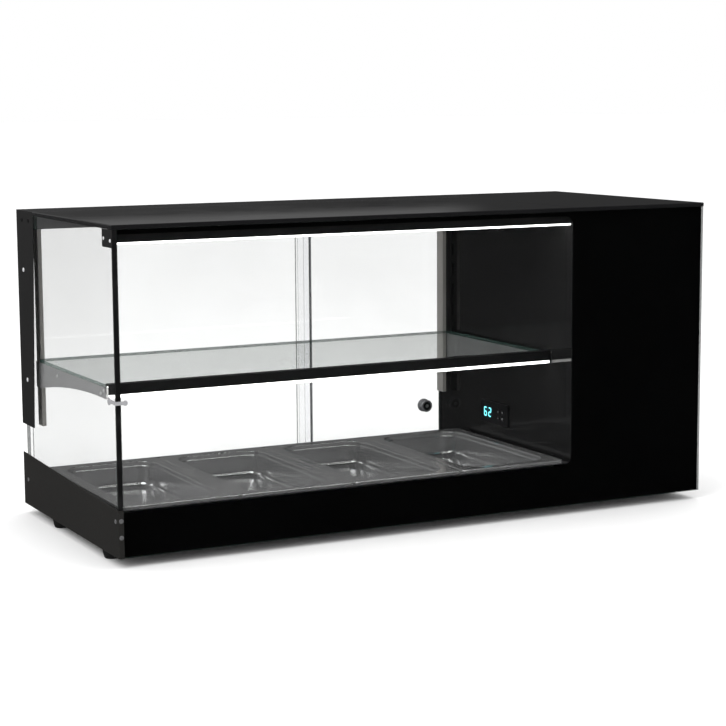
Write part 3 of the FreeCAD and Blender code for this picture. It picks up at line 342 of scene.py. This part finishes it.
STAINLESS = steel("standard_brushed_steel", (0.57, 0.55, 0.525), 0.30, (1, 1, 0.02), 0.01, metal=0.45)
LINER = steel("liner_brushed_steel", (0.50, 0.49, 0.48), 0.32, (0.03, 1, 1), 0.01)
SHEATH = steel("heater_tinted_steel", (0.24, 0.19, 0.16), 0.42, (0.05, 1, 1), tint=(0.13, 0.11, 0.14))
CHROME = steel("chrome_plate", (0.66, 0.66, 0.68), 0.14, (1, 1, 1), 0.005, metal=0.55)
ZINC = steel("zinc_plate", (0.78, 0.78, 0.79), 0.30, (1, 1, 1), 0.01, metal=0.35)
PAN = steel("pan_satin_steel", (0.60, 0.60, 0.605), 0.17, (0.04, 1, 1), 0.001, spread=0.03, metal=0.81)
KNOB = steel("knob_turned_aluminium", (0.50, 0.50, 0.52), 0.26, (1, 0.03, 1), 0.02, metal=0.5)
KNOB_DISC = moulded("knob_black_disc", (0.008, 0.008, 0.009), 0.34, 0.03)
KEYM = moulded("key_plastic", (0.014, 0.014, 0.016), 0.42, 0.04)
PLASTIC = moulded("black_moulded_plastic", (0.018, 0.018, 0.019), 0.48)
ROCKER = moulded("rocker_plastic", (0.022, 0.022, 0.023), 0.24, 0.04)
DRIVER = moulded("driver_plastic", (0.66, 0.66, 0.64), 0.45)
TERMINAL = moulded("terminal_plastic", (0.42, 0.42, 0.40), 0.45)
FEETM = rubber("foot_rubber", (0.010, 0.010, 0.010), 0.7)
LEADM = rubber("lead_silicone", (0.022, 0.022, 0.025), 0.5)
BOARD = moulded("led_board", (0.84, 0.84, 0.81), 0.35, 0.03)
MARK = moulded("key_mark_print", (0.85, 0.86, 0.88), 0.5, 0.02)
LED_TOP = lit("led_diffuser_top", (1.0, 0.995, 0.975), 4.2)
LED_SHELF = lit("led_diffuser_shelf", (1.0, 0.995, 0.975), 3.4)
GL_FRONT = glass("glass_front", "Y", (0.937, 0.939, 0.938), (0.010, 0.018, 0.016), 0.9)
GL_SIDE = glass("glass_side", "X", (0.928, 0.930, 0.929), (0.014, 0.024, 0.021), 0.9)
GL_DOOR = glass("glass_door", "Y", (0.982, 0.984, 0.983), (0.060, 0.075, 0.072), 0.9)
GL_SHELF = glass("glass_shelf", "Z", (0.975, 0.985, 0.979), (0.05, 0.10, 0.085), 0.9)


def screw_material():
    """Pan heads: blackened where they hold the roof header, a darker grey low
    down, plain zinc elsewhere."""
    m = Mat("case_screw_steel")
    sep = m.t.nodes.new("ShaderNodeSeparateXYZ")
    m.t.links.new(m.coords(), sep.inputs[0])
    high = m.ramp(sep.outputs[2], 0.425, 0.435, 0.0, 1.0)
    back = m.ramp(sep.outputs[1], 0.05, 0.10, 0.0, 1.0)
    black = m.math("MULTIPLY", high, back)
    # darker towards the bottom: screws below about 0.12 m take a darker grey
    low = m.ramp(sep.outputs[2], 0.10, 0.14, 1.0, 0.0)
    grain = m.ramp(m.noise(900, 2), 0.3, 0.7, 0, 1)
    zinc = m.mix(grain, (0.72, 0.72, 0.73), (0.88, 0.88, 0.89))
    darker_low_grey = m.mix(grain, (0.13, 0.13, 0.135), (0.19, 0.19, 0.195))
    oxide = m.mix(grain, (0.006, 0.006, 0.006), (0.012, 0.012, 0.012))
    base = m.mix(black, m.mix(low, zinc, darker_low_grey), oxide)
    p = m.principled(Base_Color=base, Metallic=0.35, Roughness=m.ramp(m.noise(700, 2), 0.3, 0.7, 0.28, 0.38))
    return m.surface(p.outputs[0])


def control_material():
    """Dark controller window: the lit figures bleed a little into it."""
    m = Mat("controller_plastic")
    lo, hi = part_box("controller_digits")
    c = (lo + hi) / 2
    sep = m.t.nodes.new("ShaderNodeSeparateXYZ")
    m.t.links.new(m.coords(), sep.inputs[0])
    dy = m.math("DIVIDE", m.math("SUBTRACT", sep.outputs[1], c.y), (hi.y - lo.y) * 0.5 + 0.0040)
    dz = m.math("DIVIDE", m.math("SUBTRACT", sep.outputs[2], c.z), (hi.z - lo.z) * 0.5 + 0.0040)
    d = m.math("SQRT", m.math("ADD", m.math("MULTIPLY", dy, dy), m.math("MULTIPLY", dz, dz)))
    glow = m.ramp(d, 0.55, 1.25, 1.0, 0.0)
    glow = m.math("MULTIPLY", glow, glow)
    glow = m.math("MULTIPLY", glow, m.ramp(m.noise(900, 2), 0.3, 0.7, 0.9, 1.1))
    g = m.noise(1500, 2, 0.7)
    base = m.mix(m.ramp(m.noise(30, 3), 0.3, 0.7, 0, 1), (0.0066, 0.0066, 0.0075), (0.0084, 0.0084, 0.0095))
    # edges paler: wear, and also a painted edge highlight
    base = m.mix(m.math("MULTIPLY", m.edge_wear_and_highlight(0.0008), 0.5), base, (0.030, 0.030, 0.033))
    p = m.principled(Base_Color=base, Roughness=m.ramp(g, 0.3, 0.7, 0.27, 0.34), Normal=m.bump(g, 0.03, 0.00006),
                     Emission_Color=(0.0, 0.42, 0.50), Emission_Strength=m.math("MULTIPLY", glow, 0.085))
    return m.surface(p.outputs[0])


BLACK_SCREW = screw_material()
CONTROL = control_material()


def digits_material():
    m = Mat("digit_cyan_light")
    s = m.ramp(m.noise(900, 2), 0.3, 0.7, 1.7, 2.3)
    p = m.principled(Base_Color=(0.10, 0.55, 0.60), Roughness=m.ramp(m.noise(700, 1), 0.3, 0.7, 0.3, 0.45),
                     Emission_Color=(0.22, 0.90, 1.0, 1), Emission_Strength=s)
    return m.surface(p.outputs[0])


def edge_material():
    """Clear grey door profile: mostly see-through on its faces, darker along
    its two returns."""
    m = Mat("door_edge_profile")
    g = m.t.nodes.new("ShaderNodeNewGeometry")
    sep = m.t.nodes.new("ShaderNodeSeparateXYZ")
    m.t.links.new(g.outputs["Normal"], sep.inputs[0])
    face = m.math("ABSOLUTE", sep.outputs[1])
    rim = m.ramp(face, 0.6, 0.9, 1.0, 0.0)
    streak = m.noise(500, 3, 0.6, (1, 1, 0.01))
    clear = m.t.nodes.new("ShaderNodeBsdfTransparent")
    clear.inputs[0].default_value = (0.996, 0.995, 1.0, 1)
    body = m.principled(Base_Color=m.mix(m.ramp(streak, 0.3, 0.7, 0, 1), (0.42, 0.42, 0.50), (0.56, 0.56, 0.64)),
                        Roughness=m.ramp(streak, 0.3, 0.7, 0.12, 0.25))
    dark = m.principled(Base_Color=m.mix(m.ramp(streak, 0.3, 0.7, 0, 1), (0.055, 0.055, 0.068), (0.09, 0.09, 0.105)),
                        Roughness=m.ramp(streak, 0.3, 0.7, 0.2, 0.35))
    a = m.t.nodes.new("ShaderNodeMixShader")
    m.put(a.inputs[0], m.ramp(streak, 0.3, 0.7, 0.004, 0.010))
    m.t.links.new(clear.outputs[0], a.inputs[1])
    m.t.links.new(body.outputs[0], a.inputs[2])
    b = m.t.nodes.new("ShaderNodeMixShader")
    m.put(b.inputs[0], m.math("MULTIPLY", rim, 0.85))
    m.t.links.new(a.outputs[0], b.inputs[1])
    m.t.links.new(dark.outputs[0], b.inputs[2])
    return m.surface(b.outputs[0])


DIGITS = digits_material()
EDGE = edge_material()

BY_NODE = {
    "base_tray": BLACK, "base_side_left": BLACK_COAT_LIT_COPY, "base_rear_panel": BLACK,
    "housing_side_right": BLACK, "housing_rear_panel": BLACK,
    "housing_top": ROOF, "roof_panel": ROOF, "rear_header": HEADER,
    "inner_wall": WALLM, "front_glass": GL_FRONT, "front_print": PRINT,
    "side_glass": GL_SIDE, "corner_seal": SEAL, "glass_corner_clip": CHROME,
    "rear_post_left": BLACK, "slotted_standard_left": STAINLESS,
    "slotted_standard_right": STAINLESS, "shelf_bracket_left": BRACKET,
    "shelf_bracket_right": BRACKET, "shelf_glass": GL_SHELF,
    "shelf_light_bar": BAR, "shelf_light_diffuser": LED_SHELF,
    "top_light_housing": BAR, "top_light_led_strip": BOARD,
    "top_light_diffuser": LED_TOP, "top_light_end_bracket": BLACK,
    "door_track_bottom": TRACK, "door_track_top": TRACK,
    "door_left_glass": GL_DOOR, "door_left_edge": EDGE, "door_right_glass": GL_DOOR,
    "well_frame": WELL, "pan_divider_bars": WELL, "well_liner": LINER,
    "heater_elements": SHEATH, "heater_supports": LINER, "temperature_probe": ZINC,
    "foot_screws": ZINC, "case_screws": BLACK_SCREW, "shelf_screws": ZINC,
    "controller_body": CONTROL, "controller_digits": DIGITS,
    "controller_key_1": KEYM, "controller_key_2": KEYM, "controller_key_3": KEYM,
    "controller_key_4": KEYM, "fan_frame": PLASTIC, "fan_rotor": PLASTIC,
    "led_driver": DRIVER, "terminal_block": TERMINAL, "power_inlet": PLASTIC,
    "switch_housing": PLASTIC, "switch_rocker": ROCKER, "internal_leads": LEADM,
    "door_knob": KNOB, "feet": FEETM,
    "pan_1": PAN, "pan_2": PAN, "pan_3": PAN, "pan_4": PAN,
}
for n, o in NODE.items():
    o.data.materials.clear()
    o.data.materials.append(BY_NODE[n])

# Rounded sheet edges on the carried-over pieces: width in mm.
ROUND = {
    "base_side_left": 0.45, "base_rear_panel": 0.4, "base_tray": 0.3,
    "housing_side_right": 0.45, "housing_rear_panel": 0.35, "housing_top": 0.5,
    "roof_panel": 0.5, "rear_header": 0.45, "front_glass": 0.5,
    "side_glass": 0.5, "corner_seal": 0.8, "glass_corner_clip": 0.25,
    "rear_post_left": 0.45, "shelf_bracket_left": 0.35,
    "shelf_bracket_right": 0.35, "shelf_glass": 0.7, "shelf_light_bar": 0.3,
    "shelf_light_diffuser": 0.8, "top_light_housing": 0.3, "top_light_diffuser": 0.5,
    "top_light_end_bracket": 0.35, "door_track_bottom": 0.3, "door_track_top": 0.3,
    "door_left_glass": 0.5, "door_right_glass": 0.5, "door_left_edge": 0.25,
    "well_frame": 0.35, "pan_divider_bars": 0.35, "heater_supports": 0.5,
    "controller_body": 0.35, "fan_frame": 0.5, "led_driver": 0.5,
    "terminal_block": 0.4, "power_inlet": 0.3, "switch_housing": 0.3,
    "switch_rocker": 0.6,
}
# Sheets with many cut-outs keep their own triangles under the rounding: one
# face with holes doesn't divide well.
PIERCED = {"base_tray", "base_side_left", "housing_side_right", "housing_rear_panel",
           "roof_panel", "shelf_bracket_left", "shelf_bracket_right", "well_frame", "controller_body",
           "led_driver", "terminal_block", "power_inlet", "switch_housing"}
for n, w in ROUND.items():
    o = NODE[n]
    d = o.modifiers.new("weld", "WELD")
    d.merge_threshold = 1e-5
    if n not in PIERCED:
        d = o.modifiers.new("plane", "DECIMATE")
        d.decimate_type = "DISSOLVE"
        d.angle_limit = math.radians(0.8)
    d = o.modifiers.new("round", "BEVEL")
    d.width = w / 1000
    d.segments = 3 if w >= 0.45 else 2
    d.limit_method = "ANGLE"
    d.angle_limit = math.radians(40)
    d.use_clamp_overlap = True
    d.miter_outer = "MITER_ARC"
    d = o.modifiers.new("even", "WEIGHTED_NORMAL")
    d.mode = "FACE_AREA"
    d.weight = 100
    d.keep_sharp = True


# ---------------------------------------------------------------------------
# Mesh helpers
# ---------------------------------------------------------------------------
def outward(bm):
    """Turns every closed island of faces so that its faces look outward."""
    bmesh.ops.recalc_face_normals(bm, faces=bm.faces)
    left = set(bm.faces)
    while left:
        stack = [left.pop()]
        island = []
        while stack:
            f = stack.pop()
            island.append(f)
            for e in f.edges:
                for g in e.link_faces:
                    if g in left:
                        left.discard(g)
                        stack.append(g)
        vol = 0.0
        for f in island:
            v = f.verts
            for k in range(1, len(v) - 1):
                vol += v[0].co.dot(v[k].co.cross(v[k + 1].co))
        if vol < 0:
            bmesh.ops.reverse_faces(bm, faces=island)


def finish_mesh(bm, name, mats, smooth=35):
    if any(len(e.link_faces) > 1 for e in bm.edges):
        outward(bm)
    me = bpy.data.meshes.new(name)
    for e in bm.edges:
        if len(e.link_faces) == 2:
            e.smooth = e.calc_face_angle(0) < math.radians(smooth)
    for f in bm.faces:
        f.smooth = True
    bm.to_mesh(me)
    bm.free()
    for m in mats:
        me.materials.append(m)
    o = bpy.data.objects.new(name, me)
    bpy.context.scene.collection.objects.link(o)
    return o


def rounded_loop(x0, y0, x1, y1, r, z, n=10):
    pts = []
    for cx, cy, a0 in ((x1 - r, y0 + r, -90), (x1 - r, y1 - r, 0), (x0 + r, y1 - r, 90), (x0 + r, y0 + r, 180)):
        for i in range(n + 1):
            a = math.radians(a0 + 90 * i / n)
            pts.append(Vector((cx + r * math.cos(a), cy + r * math.sin(a), z)))
    return pts


def skin(bm, rings, cap_first=False, cap_last=False, closed=False, mat=0):
    vs = [[bm.verts.new(p) for p in r] for r in rings]
    n = len(rings[0])
    pairs = list(zip(vs, vs[1:]))
    if closed:
        pairs.append((vs[-1], vs[0]))
    for a, b in pairs:
        for i in range(n):
            f = bm.faces.new((a[i], a[(i + 1) % n], b[(i + 1) % n], b[i]))
            f.material_index = mat
    if cap_first:
        bm.faces.new(list(reversed(vs[0]))).material_index = mat
    if cap_last:
        bm.faces.new(vs[-1]).material_index = mat
    return vs


def lathe(bm, profile, centre, axis, n=48, mats=None):
    """Revolves (radius, along) pairs round an axis through centre. A radius of
    0 closes to a point. mats gives a material for each span."""
    a = Vector(axis).normalized()
    u = a.orthogonal().normalized()
    v = a.cross(u)
    c = Vector(centre)
    rings = []
    for r, t in profile:
        if r < 1e-9:
            rings.append([bm.verts.new(c + a * t)])
        else:
            rings.append([bm.verts.new(c + a * t + (u * math.cos(2 * math.pi * i / n) + v * math.sin(2 * math.pi * i / n)) * r)
                          for i in range(n)])
    for k, (p, q) in enumerate(zip(rings, rings[1:])):
        m = mats[k] if mats else 0
        if len(p) == 1 and len(q) == 1:
            continue
        for i in range(n):
            j = (i + 1) % n
            if len(p) == 1:
                f = bm.faces.new((p[0], q[i], q[j]))
            elif len(q) == 1:
                f = bm.faces.new((p[i], q[0], p[j]))
            else:
                f = bm.faces.new((p[i], q[i], q[j], p[j]))
            f.material_index = m


MM = 0.001


# ---------------------------------------------------------------------------
# Pans: drawn sheet, rolled lip, stacking shoulder, dished floor
# ---------------------------------------------------------------------------
def pan_mesh(node):
    lo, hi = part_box(node)
    bm = bmesh.new()
    h = hi.z - lo.z
    # (inset from the outer edge, depth below the rim, corner radius), in mm
    upper = [(0.0, 4.5, 9.0), (0.0, 2.0, 9.0), (0.12, 1.3, 9.0), (0.5, 0.6, 8.8),
             (1.1, 0.18, 8.4), (2.0, 0.0, 8.0), (3.0, 0.0, 8.0), (16.2, 0.0, 30.0),
             (17.0, 0.08, 30.0), (17.7, 0.45, 29.6), (18.1, 1.1, 29.3), (18.3, 2.0, 29.1),
             (18.35, 6.0, 29.0), (18.5, 6.9, 28.9), (19.0, 7.5, 28.6), (19.3, 8.1, 28.4),
             (21.1, 28.0, 27.4), (21.6, 31.5, 27.0), (22.8, 34.6, 26.0), (24.8, 37.0, 24.2),
             (27.6, 38.4, 22.0), (31.2, 38.8, 19.0), (40.0, 38.9, 14.0), (60.0, 38.95, 9.0)]
    gauge = 0.95
    # the underside runs one gauge below and outside, and stays inside the box
    lower = [(0.0, 4.5, 9.0)]
    flat = [(0.95, 4.5, 8.05), (0.95, 2.2, 8.05), (1.25, 1.45, 7.9), (1.9, 1.05, 7.4), (3.0, 0.95, 7.0)]
    wall = []
    for i, (d, z, r) in enumerate(upper):
        if i < 7:
            continue
        a = upper[i - 1]
        b = upper[min(i + 1, len(upper) - 1)]
        tx, tz = b[0] - a[0], b[1] - a[1]
        ln = math.hypot(tx, tz)
        wall.append((d - tz / ln * gauge, z + tx / ln * gauge, r + tz / ln * gauge))
    lower = flat + wall
    rings = []

    def ring(d, z, r):
        d, z, r = d * MM, z * MM, r * MM
        return rounded_loop(lo.x + d, lo.y + d, hi.x - d, hi.y - d, max(r, 0.002), hi.z - z, 12)
    for d, z, r in upper:
        rings.append(ring(d, z, r))
    top = len(rings)
    for d, z, r in reversed(lower):
        rings.append(ring(d, min(z, h / MM), r))
    vs = [[bm.verts.new(p) for p in r] for r in rings]
    n = len(rings[0])
    for k in range(len(vs)):
        if k == top - 1:
            continue
        a, b = vs[k], vs[(k + 1) % len(vs)]
        for i in range(n):
            bm.faces.new((a[i], a[(i + 1) % n], b[(i + 1) % n], b[i]))
    bm.faces.new(vs[top - 1])
    bm.faces.new(list(reversed(vs[top])))
    o = finish_mesh(bm, node + "_pressed", [PAN], 50)
    d = o.modifiers.new("even", "WEIGHTED_NORMAL")
    d.weight = 80
    d.keep_sharp = True
    return o


# ---------------------------------------------------------------------------
# Knob, feet, rotor, key marks
# ---------------------------------------------------------------------------
def knob_mesh():
    lo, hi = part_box("door_knob")
    c = (lo + hi) / 2
    cx, cz = c.x, c.z
    g0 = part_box("door_right_glass")[0].y
    g1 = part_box("door_right_glass")[1].y
    R = (hi.x - lo.x) / 2
    bm = bmesh.new()
    y0, y1 = lo.y, hi.y
    t = y1 - g1
    # the clamp disc on the inner side: silver ring, black dished centre, screw
    prof = [(0.0, y0 + 0.0005), (0.0011, y0 + 0.0005), (0.0013, y0 + 0.0009), (0.0026, y0 + 0.00085),
            (0.0029, y0 + 0.0005), (0.0032, y0 + 0.00085), (0.0062, y0 + 0.0007), (0.0068, y0 + 0.00065),
            (0.0071, y0 + 0.0001), (0.0074, y0), (R - 0.0022, y0), (R - 0.0017, y0 + 0.0003),
            (R - 0.0009, y0 + 0.0010), (R - 0.0007, g0 - 0.00015), (R - 0.0009, g0 - 0.00005),
            (0.0029, g0 - 0.00005), (0.0029, g1 + 0.00005), (R * 0.70, g1 + 0.00005),
            (R * 0.72, g1 + 0.0003), (R * 0.72, g1 + t * 0.30), (R * 0.76, g1 + t * 0.36),
            (R - 0.0005, g1 + t * 0.46), (R - 0.0001, g1 + t * 0.50), (R, g1 + t * 0.54),
            (R - 0.0003, g1 + t * 0.57), (R, g1 + t * 0.60), (R - 0.0003, g1 + t * 0.63),
            (R, g1 + t * 0.66), (R - 0.0003, g1 + t * 0.69), (R, g1 + t * 0.72),
            (R - 0.0003, g1 + t * 0.75), (R, g1 + t * 0.78), (R - 0.0001, g1 + t * 0.84),
            (R - 0.0006, g1 + t * 0.93), (R - 0.0014, y1 - 0.0001), (R - 0.0024, y1),
            (0.0052, y1), (0.0048, y1 - 0.0003), (0.0010, y1 - 0.0003), (0.0, y1 - 0.0003)]
    mats = [0] * (len(prof) - 1)
    for k in range(4, 8):
        mats[k] = 1
    for k in range(0, 4):
        mats[k] = 2
    lathe(bm, prof, (cx, 0, cz), (0, 1, 0), 64, mats)
    return finish_mesh(bm, "door_knob_turned", [KNOB, KNOB_DISC, BLACK_SCREW], 30)


def feet_mesh():
    lo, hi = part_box("feet")
    r = 0.014
    bm = bmesh.new()
    for x in (lo.x + r, hi.x - r):
        for y in (lo.y + r, hi.y - r):
            z1, z0 = hi.z, lo.z
            prof = [(0.0024, z1), (0.0024, z1 - 0.0035), (0.0052, z1 - 0.0035), (0.0052, z0 + 0.0004),
                    (0.0056, z0), (r - 0.0044, z0), (r - 0.0037, z0 + 0.0002), (r - 0.0030, z0 + 0.0009),
                    (r - 0.0024, z0 + 0.0022), (r - 0.0029, z0 + 0.0026), (r - 0.0022, z0 + 0.0031),
                    (r - 0.0018, z0 + 0.0046), (r - 0.0023, z0 + 0.0050), (r - 0.0016, z0 + 0.0054),
                    (r - 0.0010, z0 + 0.0076), (r - 0.0004, z1 - 0.0010), (r - 0.0003, z1 - 0.0003),
                    (r - 0.0006, z1), (0.0024, z1)]
            rings = []
            n = 48
            for rr, z in prof[:-1]:
                rings.append([Vector((x + rr * math.cos(2 * math.pi * i / n), y + rr * math.sin(2 * math.pi * i / n), z))
                              for i in range(n)])
            skin(bm, rings, closed=True)
    return finish_mesh(bm, "feet_moulded", [FEETM], 40)


def rotor_mesh():
    lo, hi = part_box("fan_rotor")
    c = (lo + hi) / 2
    y0, y1 = lo.y, hi.y
    bm = bmesh.new()
    hub = 0.0174
    prof = [(0.0, y0 + 0.0001), (0.0060, y0 + 0.0001), (0.0064, y0 + 0.0004), (0.0100, y0 + 0.0002),
            (hub - 0.0022, y0 + 0.0001), (hub - 0.0008, y0 + 0.0006), (hub, y0 + 0.0022), (hub, y1 - 0.0004),
            (hub - 0.0004, y1), (hub - 0.0018, y1), (hub - 0.0018, y0 + 0.0052), (0.0040, y0 + 0.0052),
            (0.0040, y1 - 0.0006), (0.00215, y1 - 0.0006), (0.00215, y0 + 0.0056), (0.0, y0 + 0.0056)]
    lathe(bm, prof, (c.x, 0, c.z), (0, 1, 0), 64)
    tip = 0.0364
    nb, nr, nt = 7, 9, 7
    for k in range(nb):
        base = 2 * math.pi * k / nb
        grid = {}
        for side in (0, 1):
            for i in range(nr):
                s = i / (nr - 1)
                rad = hub - 0.0006 + (tip - hub + 0.0006) * s
                pitch = math.radians(52 - 20 * s)
                chord = 0.0125 + 0.004 * s
                sweep = 0.22 * s * s
                for j in range(nt):
                    q = j / (nt - 1) - 0.5
                    arc = chord * q
                    camber = 0.0016 * (1 - (2 * q) ** 2)
                    thick = (0.0007 - 0.0002 * s) * math.sqrt(max(0.02, 1 - (2 * q) ** 2))
                    off = camber + (thick if side else -thick)
                    tang = arc * math.cos(pitch) - off * math.sin(pitch)
                    ax = arc * math.sin(pitch) + off * math.cos(pitch)
                    a = base + sweep + tang / rad
                    y = (y0 + y1) / 2 + 0.0003 + ax
                    y = min(max(y, y0 + 0.0002), y1 - 0.0002)
                    grid[side, i, j] = bm.verts.new((c.x + rad * math.cos(a), y, c.z + rad * math.sin(a)))
        for side in (0, 1):
            for i in range(nr - 1):
                for j in range(nt - 1):
                    bm.faces.new((grid[side, i, j], grid[side, i + 1, j], grid[side, i + 1, j + 1], grid[side, i, j + 1]))
        for i in range(nr - 1):
            for j in (0, nt - 1):
                bm.faces.new((grid[0, i, j], grid[0, i + 1, j], grid[1, i + 1, j], grid[1, i, j]))
        for j in range(nt - 1):
            for i in (0, nr - 1):
                bm.faces.new((grid[0, i, j], grid[0, i, j + 1], grid[1, i, j + 1], grid[1, i, j]))
    return finish_mesh(bm, "fan_rotor_bladed", [PLASTIC], 40)


def key_mark(i):
    """A small inlaid sign on a key: up, down, a bar and a ring."""
    lo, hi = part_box("controller_key_%d" % i)
    cy, cz = (lo.y + hi.y) / 2, (lo.z + hi.z) / 2
    x = lo.x
    bm = bmesh.new()
    s = 0.0012

    def slab(pts):
        n = len(pts)
        a = [bm.verts.new((x - 0.00003, cy + p, cz + q)) for p, q in pts]
        b = [bm.verts.new((x + 0.0002, cy + p, cz + q)) for p, q in pts]
        bm.faces.new(a)
        bm.faces.new(list(reversed(b)))
        for k in range(n):
            bm.faces.new((a[k], b[k], b[(k + 1) % n], a[(k + 1) % n]))
    if i == 1:
        slab([(-s, -s * 0.7), (s, -s * 0.7), (0, s)])
    elif i == 2:
        slab([(-s, s * 0.7), (0, -s), (s, s * 0.7)])
    elif i == 3:
        slab([(-s, -s * 0.25), (s, -s * 0.25), (s, s * 0.25), (-s, s * 0.25)])
    else:
        n = 24
        ri, ro = s * 0.65, s
        rings = []
        for r, dx in ((ri, -0.00003), (ro, -0.00003), (ro, 0.0002), (ri, 0.0002)):
            rings.append([Vector((x + dx, cy + r * math.cos(2 * math.pi * k / n), cz + r * math.sin(2 * math.pi * k / n)))
                          for k in range(n)])
        skin(bm, rings, closed=True)
    return finish_mesh(bm, "key_mark_%d" % i, [MARK], 40)


def swap(piece, node):
    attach(piece, BODY_OF[node])
    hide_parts(node)
    return piece


for i in (1, 2, 3, 4):
    swap(pan_mesh("pan_%d" % i), "pan_%d" % i)
    mk = key_mark(i)
    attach(mk, "key_%d" % i)
swap(knob_mesh(), "door_knob")
swap(feet_mesh(), "feet")
swap(rotor_mesh(), "fan_rotor")

# ---------------------------------------------------------------------------
# Floor, world and lamps
# ---------------------------------------------------------------------------
floor_z = cad_lo.z
bm = bmesh.new()
bmesh.ops.create_grid(bm, x_segments=2, y_segments=2, size=40)
for v in bm.verts:
    v.co.z = floor_z - 0.0002
floor = finish_mesh(bm, "floor", [], 30)
fm = Mat("floor_paper")
fc = fm.mix(fm.ramp(fm.noise(3, 3), 0.3, 0.7, 0, 1), (0.90, 0.90, 0.90), (0.915, 0.915, 0.915))
fp = fm.principled(Base_Color=fc, Roughness=0.9, Specular_IOR_Level=0.1)
floor.data.materials.append(fm.surface(fp.outputs[0]))
floor.visible_glossy = False

scene = bpy.context.scene
world = bpy.data.worlds.new("studio")
scene.world = world
world.use_nodes = True
wt = world.node_tree
wt.nodes.clear()


def wn(kind, **p):
    n = wt.nodes.new("ShaderNode" + kind)
    for k, v in p.items():
        setattr(n, k, v)
    return n


def wmath(op, a, b=0.0, clamp=False):
    n = wn("Math", operation=op, use_clamp=clamp)
    for s, v in zip(n.inputs, (a, b)):
        if isinstance(v, bpy.types.NodeSocket):
            wt.links.new(v, s)
        else:
            s.default_value = v
    return n.outputs[0]


def wramp(v, lo, hi, a, b, kind="LINEAR"):
    n = wn("MapRange", interpolation_type=kind)
    for k, x in (("Value", v), ("From Min", lo), ("From Max", hi), ("To Min", a), ("To Max", b)):
        if isinstance(x, bpy.types.NodeSocket):
            wt.links.new(x, n.inputs[k])
        else:
            n.inputs[k].default_value = x
    return n.outputs["Result"]


tc = wn("TexCoord").outputs["Generated"]
sx = wn("SeparateXYZ")
wt.links.new(tc, sx.inputs[0])
X, Y, Z = sx.outputs
back = wmath("MAXIMUM", Y, 0.05)
slope = wmath("DIVIDE", Z, back)
side = wmath("DIVIDE", X, back)
# dim studio in front, paler behind and above: what polished pieces mirror
# a low wall behind the case, which fades to the right
wall = wramp(side, 0.30, 0.52, 0.058, 0.036)
wall = wmath("ADD", wall, wramp(side, 0.05, -0.20, 0.0, 0.16))
# the edge of a long window above it
window = wmath("MULTIPLY", wramp(slope, 0.0660, 0.0682, 0.0, 1.0, "SMOOTHSTEP"),
               wramp(side, 0.555, 0.60, 1.0, 0.0, "SMOOTHSTEP"))
window = wmath("MULTIPLY", window, wramp(slope, 0.30, 0.60, 1.0, 0.0))
behind = wmath("ADD", wall, wmath("MULTIPLY", window, 0.10))
behind = wmath("MULTIPLY", behind, wramp(Z, -0.04, 0.0, 0.30, 1.0))
front = wramp(Z, 0.0, 0.8, 0.002, 0.22)
left = wmath("MULTIPLY", wramp(X, -0.5, -0.95, 0.0, 0.06), wramp(Z, -0.1, 0.2, 0.3, 1.0))
front = wmath("ADD", front, left)
mixn = wramp(Y, -0.10, 0.25, 0.0, 1.0, "SMOOTHSTEP")
gl = wmath("ADD", wmath("MULTIPLY", behind, mixn),
           wmath("MULTIPLY", front, wmath("SUBTRACT", 1.0, mixn)))
lp = wn("LightPath")
diffuse_level = 1.30
seen = wmath("MAXIMUM", lp.outputs["Is Camera Ray"], lp.outputs["Is Transmission Ray"])
level = wmath("ADD", wmath("MULTIPLY", gl, lp.outputs["Is Glossy Ray"]),
              wmath("MULTIPLY", diffuse_level, wmath("SUBTRACT", 1.0, lp.outputs["Is Glossy Ray"])))
level = wmath("ADD", wmath("MULTIPLY", level, wmath("SUBTRACT", 1.0, seen)), wmath("MULTIPLY", seen, 1.0))
bg = wn("Background")
bg.inputs[0].default_value = (1, 1, 1, 1)
wt.links.new(level, bg.inputs[1])
wo = wn("OutputWorld")
wt.links.new(bg.outputs[0], wo.inputs[0])


def softbox(name, loc, target, w, h, power, glossy=True):
    l = bpy.data.lights.new(name, "AREA")
    l.shape = "RECTANGLE"
    l.size, l.size_y = w, h
    l.energy = power
    o = bpy.data.objects.new(name, l)
    scene.collection.objects.link(o)
    o.location = loc
    d = Vector(target) - Vector(loc)
    o.rotation_euler = d.to_track_quat("-Z", "Y").to_euler()
    o.visible_camera = False
    o.visible_glossy = glossy
    return o


softbox("key_left", (-2.6, -1.4, 2.4), (0, 0, 0.2), 1.6, 1.6, 32)
softbox("top_fill", (0.3, 0.4, 2.6), (0, 0, 0.3), 2.2, 1.4, 18, False)

# ---------------------------------------------------------------------------
# Camera
# ---------------------------------------------------------------------------
ya, pb, rc = (math.radians(v) for v in (27.005, -7.919, -0.375))
fwd = Vector((math.sin(ya) * math.cos(pb), math.cos(ya) * math.cos(pb), math.sin(pb)))
right = Vector((math.cos(ya), -math.sin(ya), 0))
up = right.cross(fwd)
r2 = right * math.cos(rc) + up * math.sin(rc)
u2 = -right * math.sin(rc) + up * math.cos(rc)
cam_data = bpy.data.cameras.new("camera")
cam_data.lens = 1945.37 / 726 * 36
cam_data.sensor_width = 36
cam_data.clip_start = 0.05
cam_data.clip_end = 200
cam = bpy.data.objects.new("camera", cam_data)
scene.collection.objects.link(cam)
m = Matrix((r2, u2, -fwd)).transposed().to_4x4()
m.translation = Vector((-1.3475, -2.6388, 0.6348))
cam.matrix_world = m
scene.camera = cam
# many clear panes stand one behind the other
scene.cycles.transparent_max_bounces = 32
scene.view_settings.view_transform = "Standard"
scene.view_settings.look = "None"
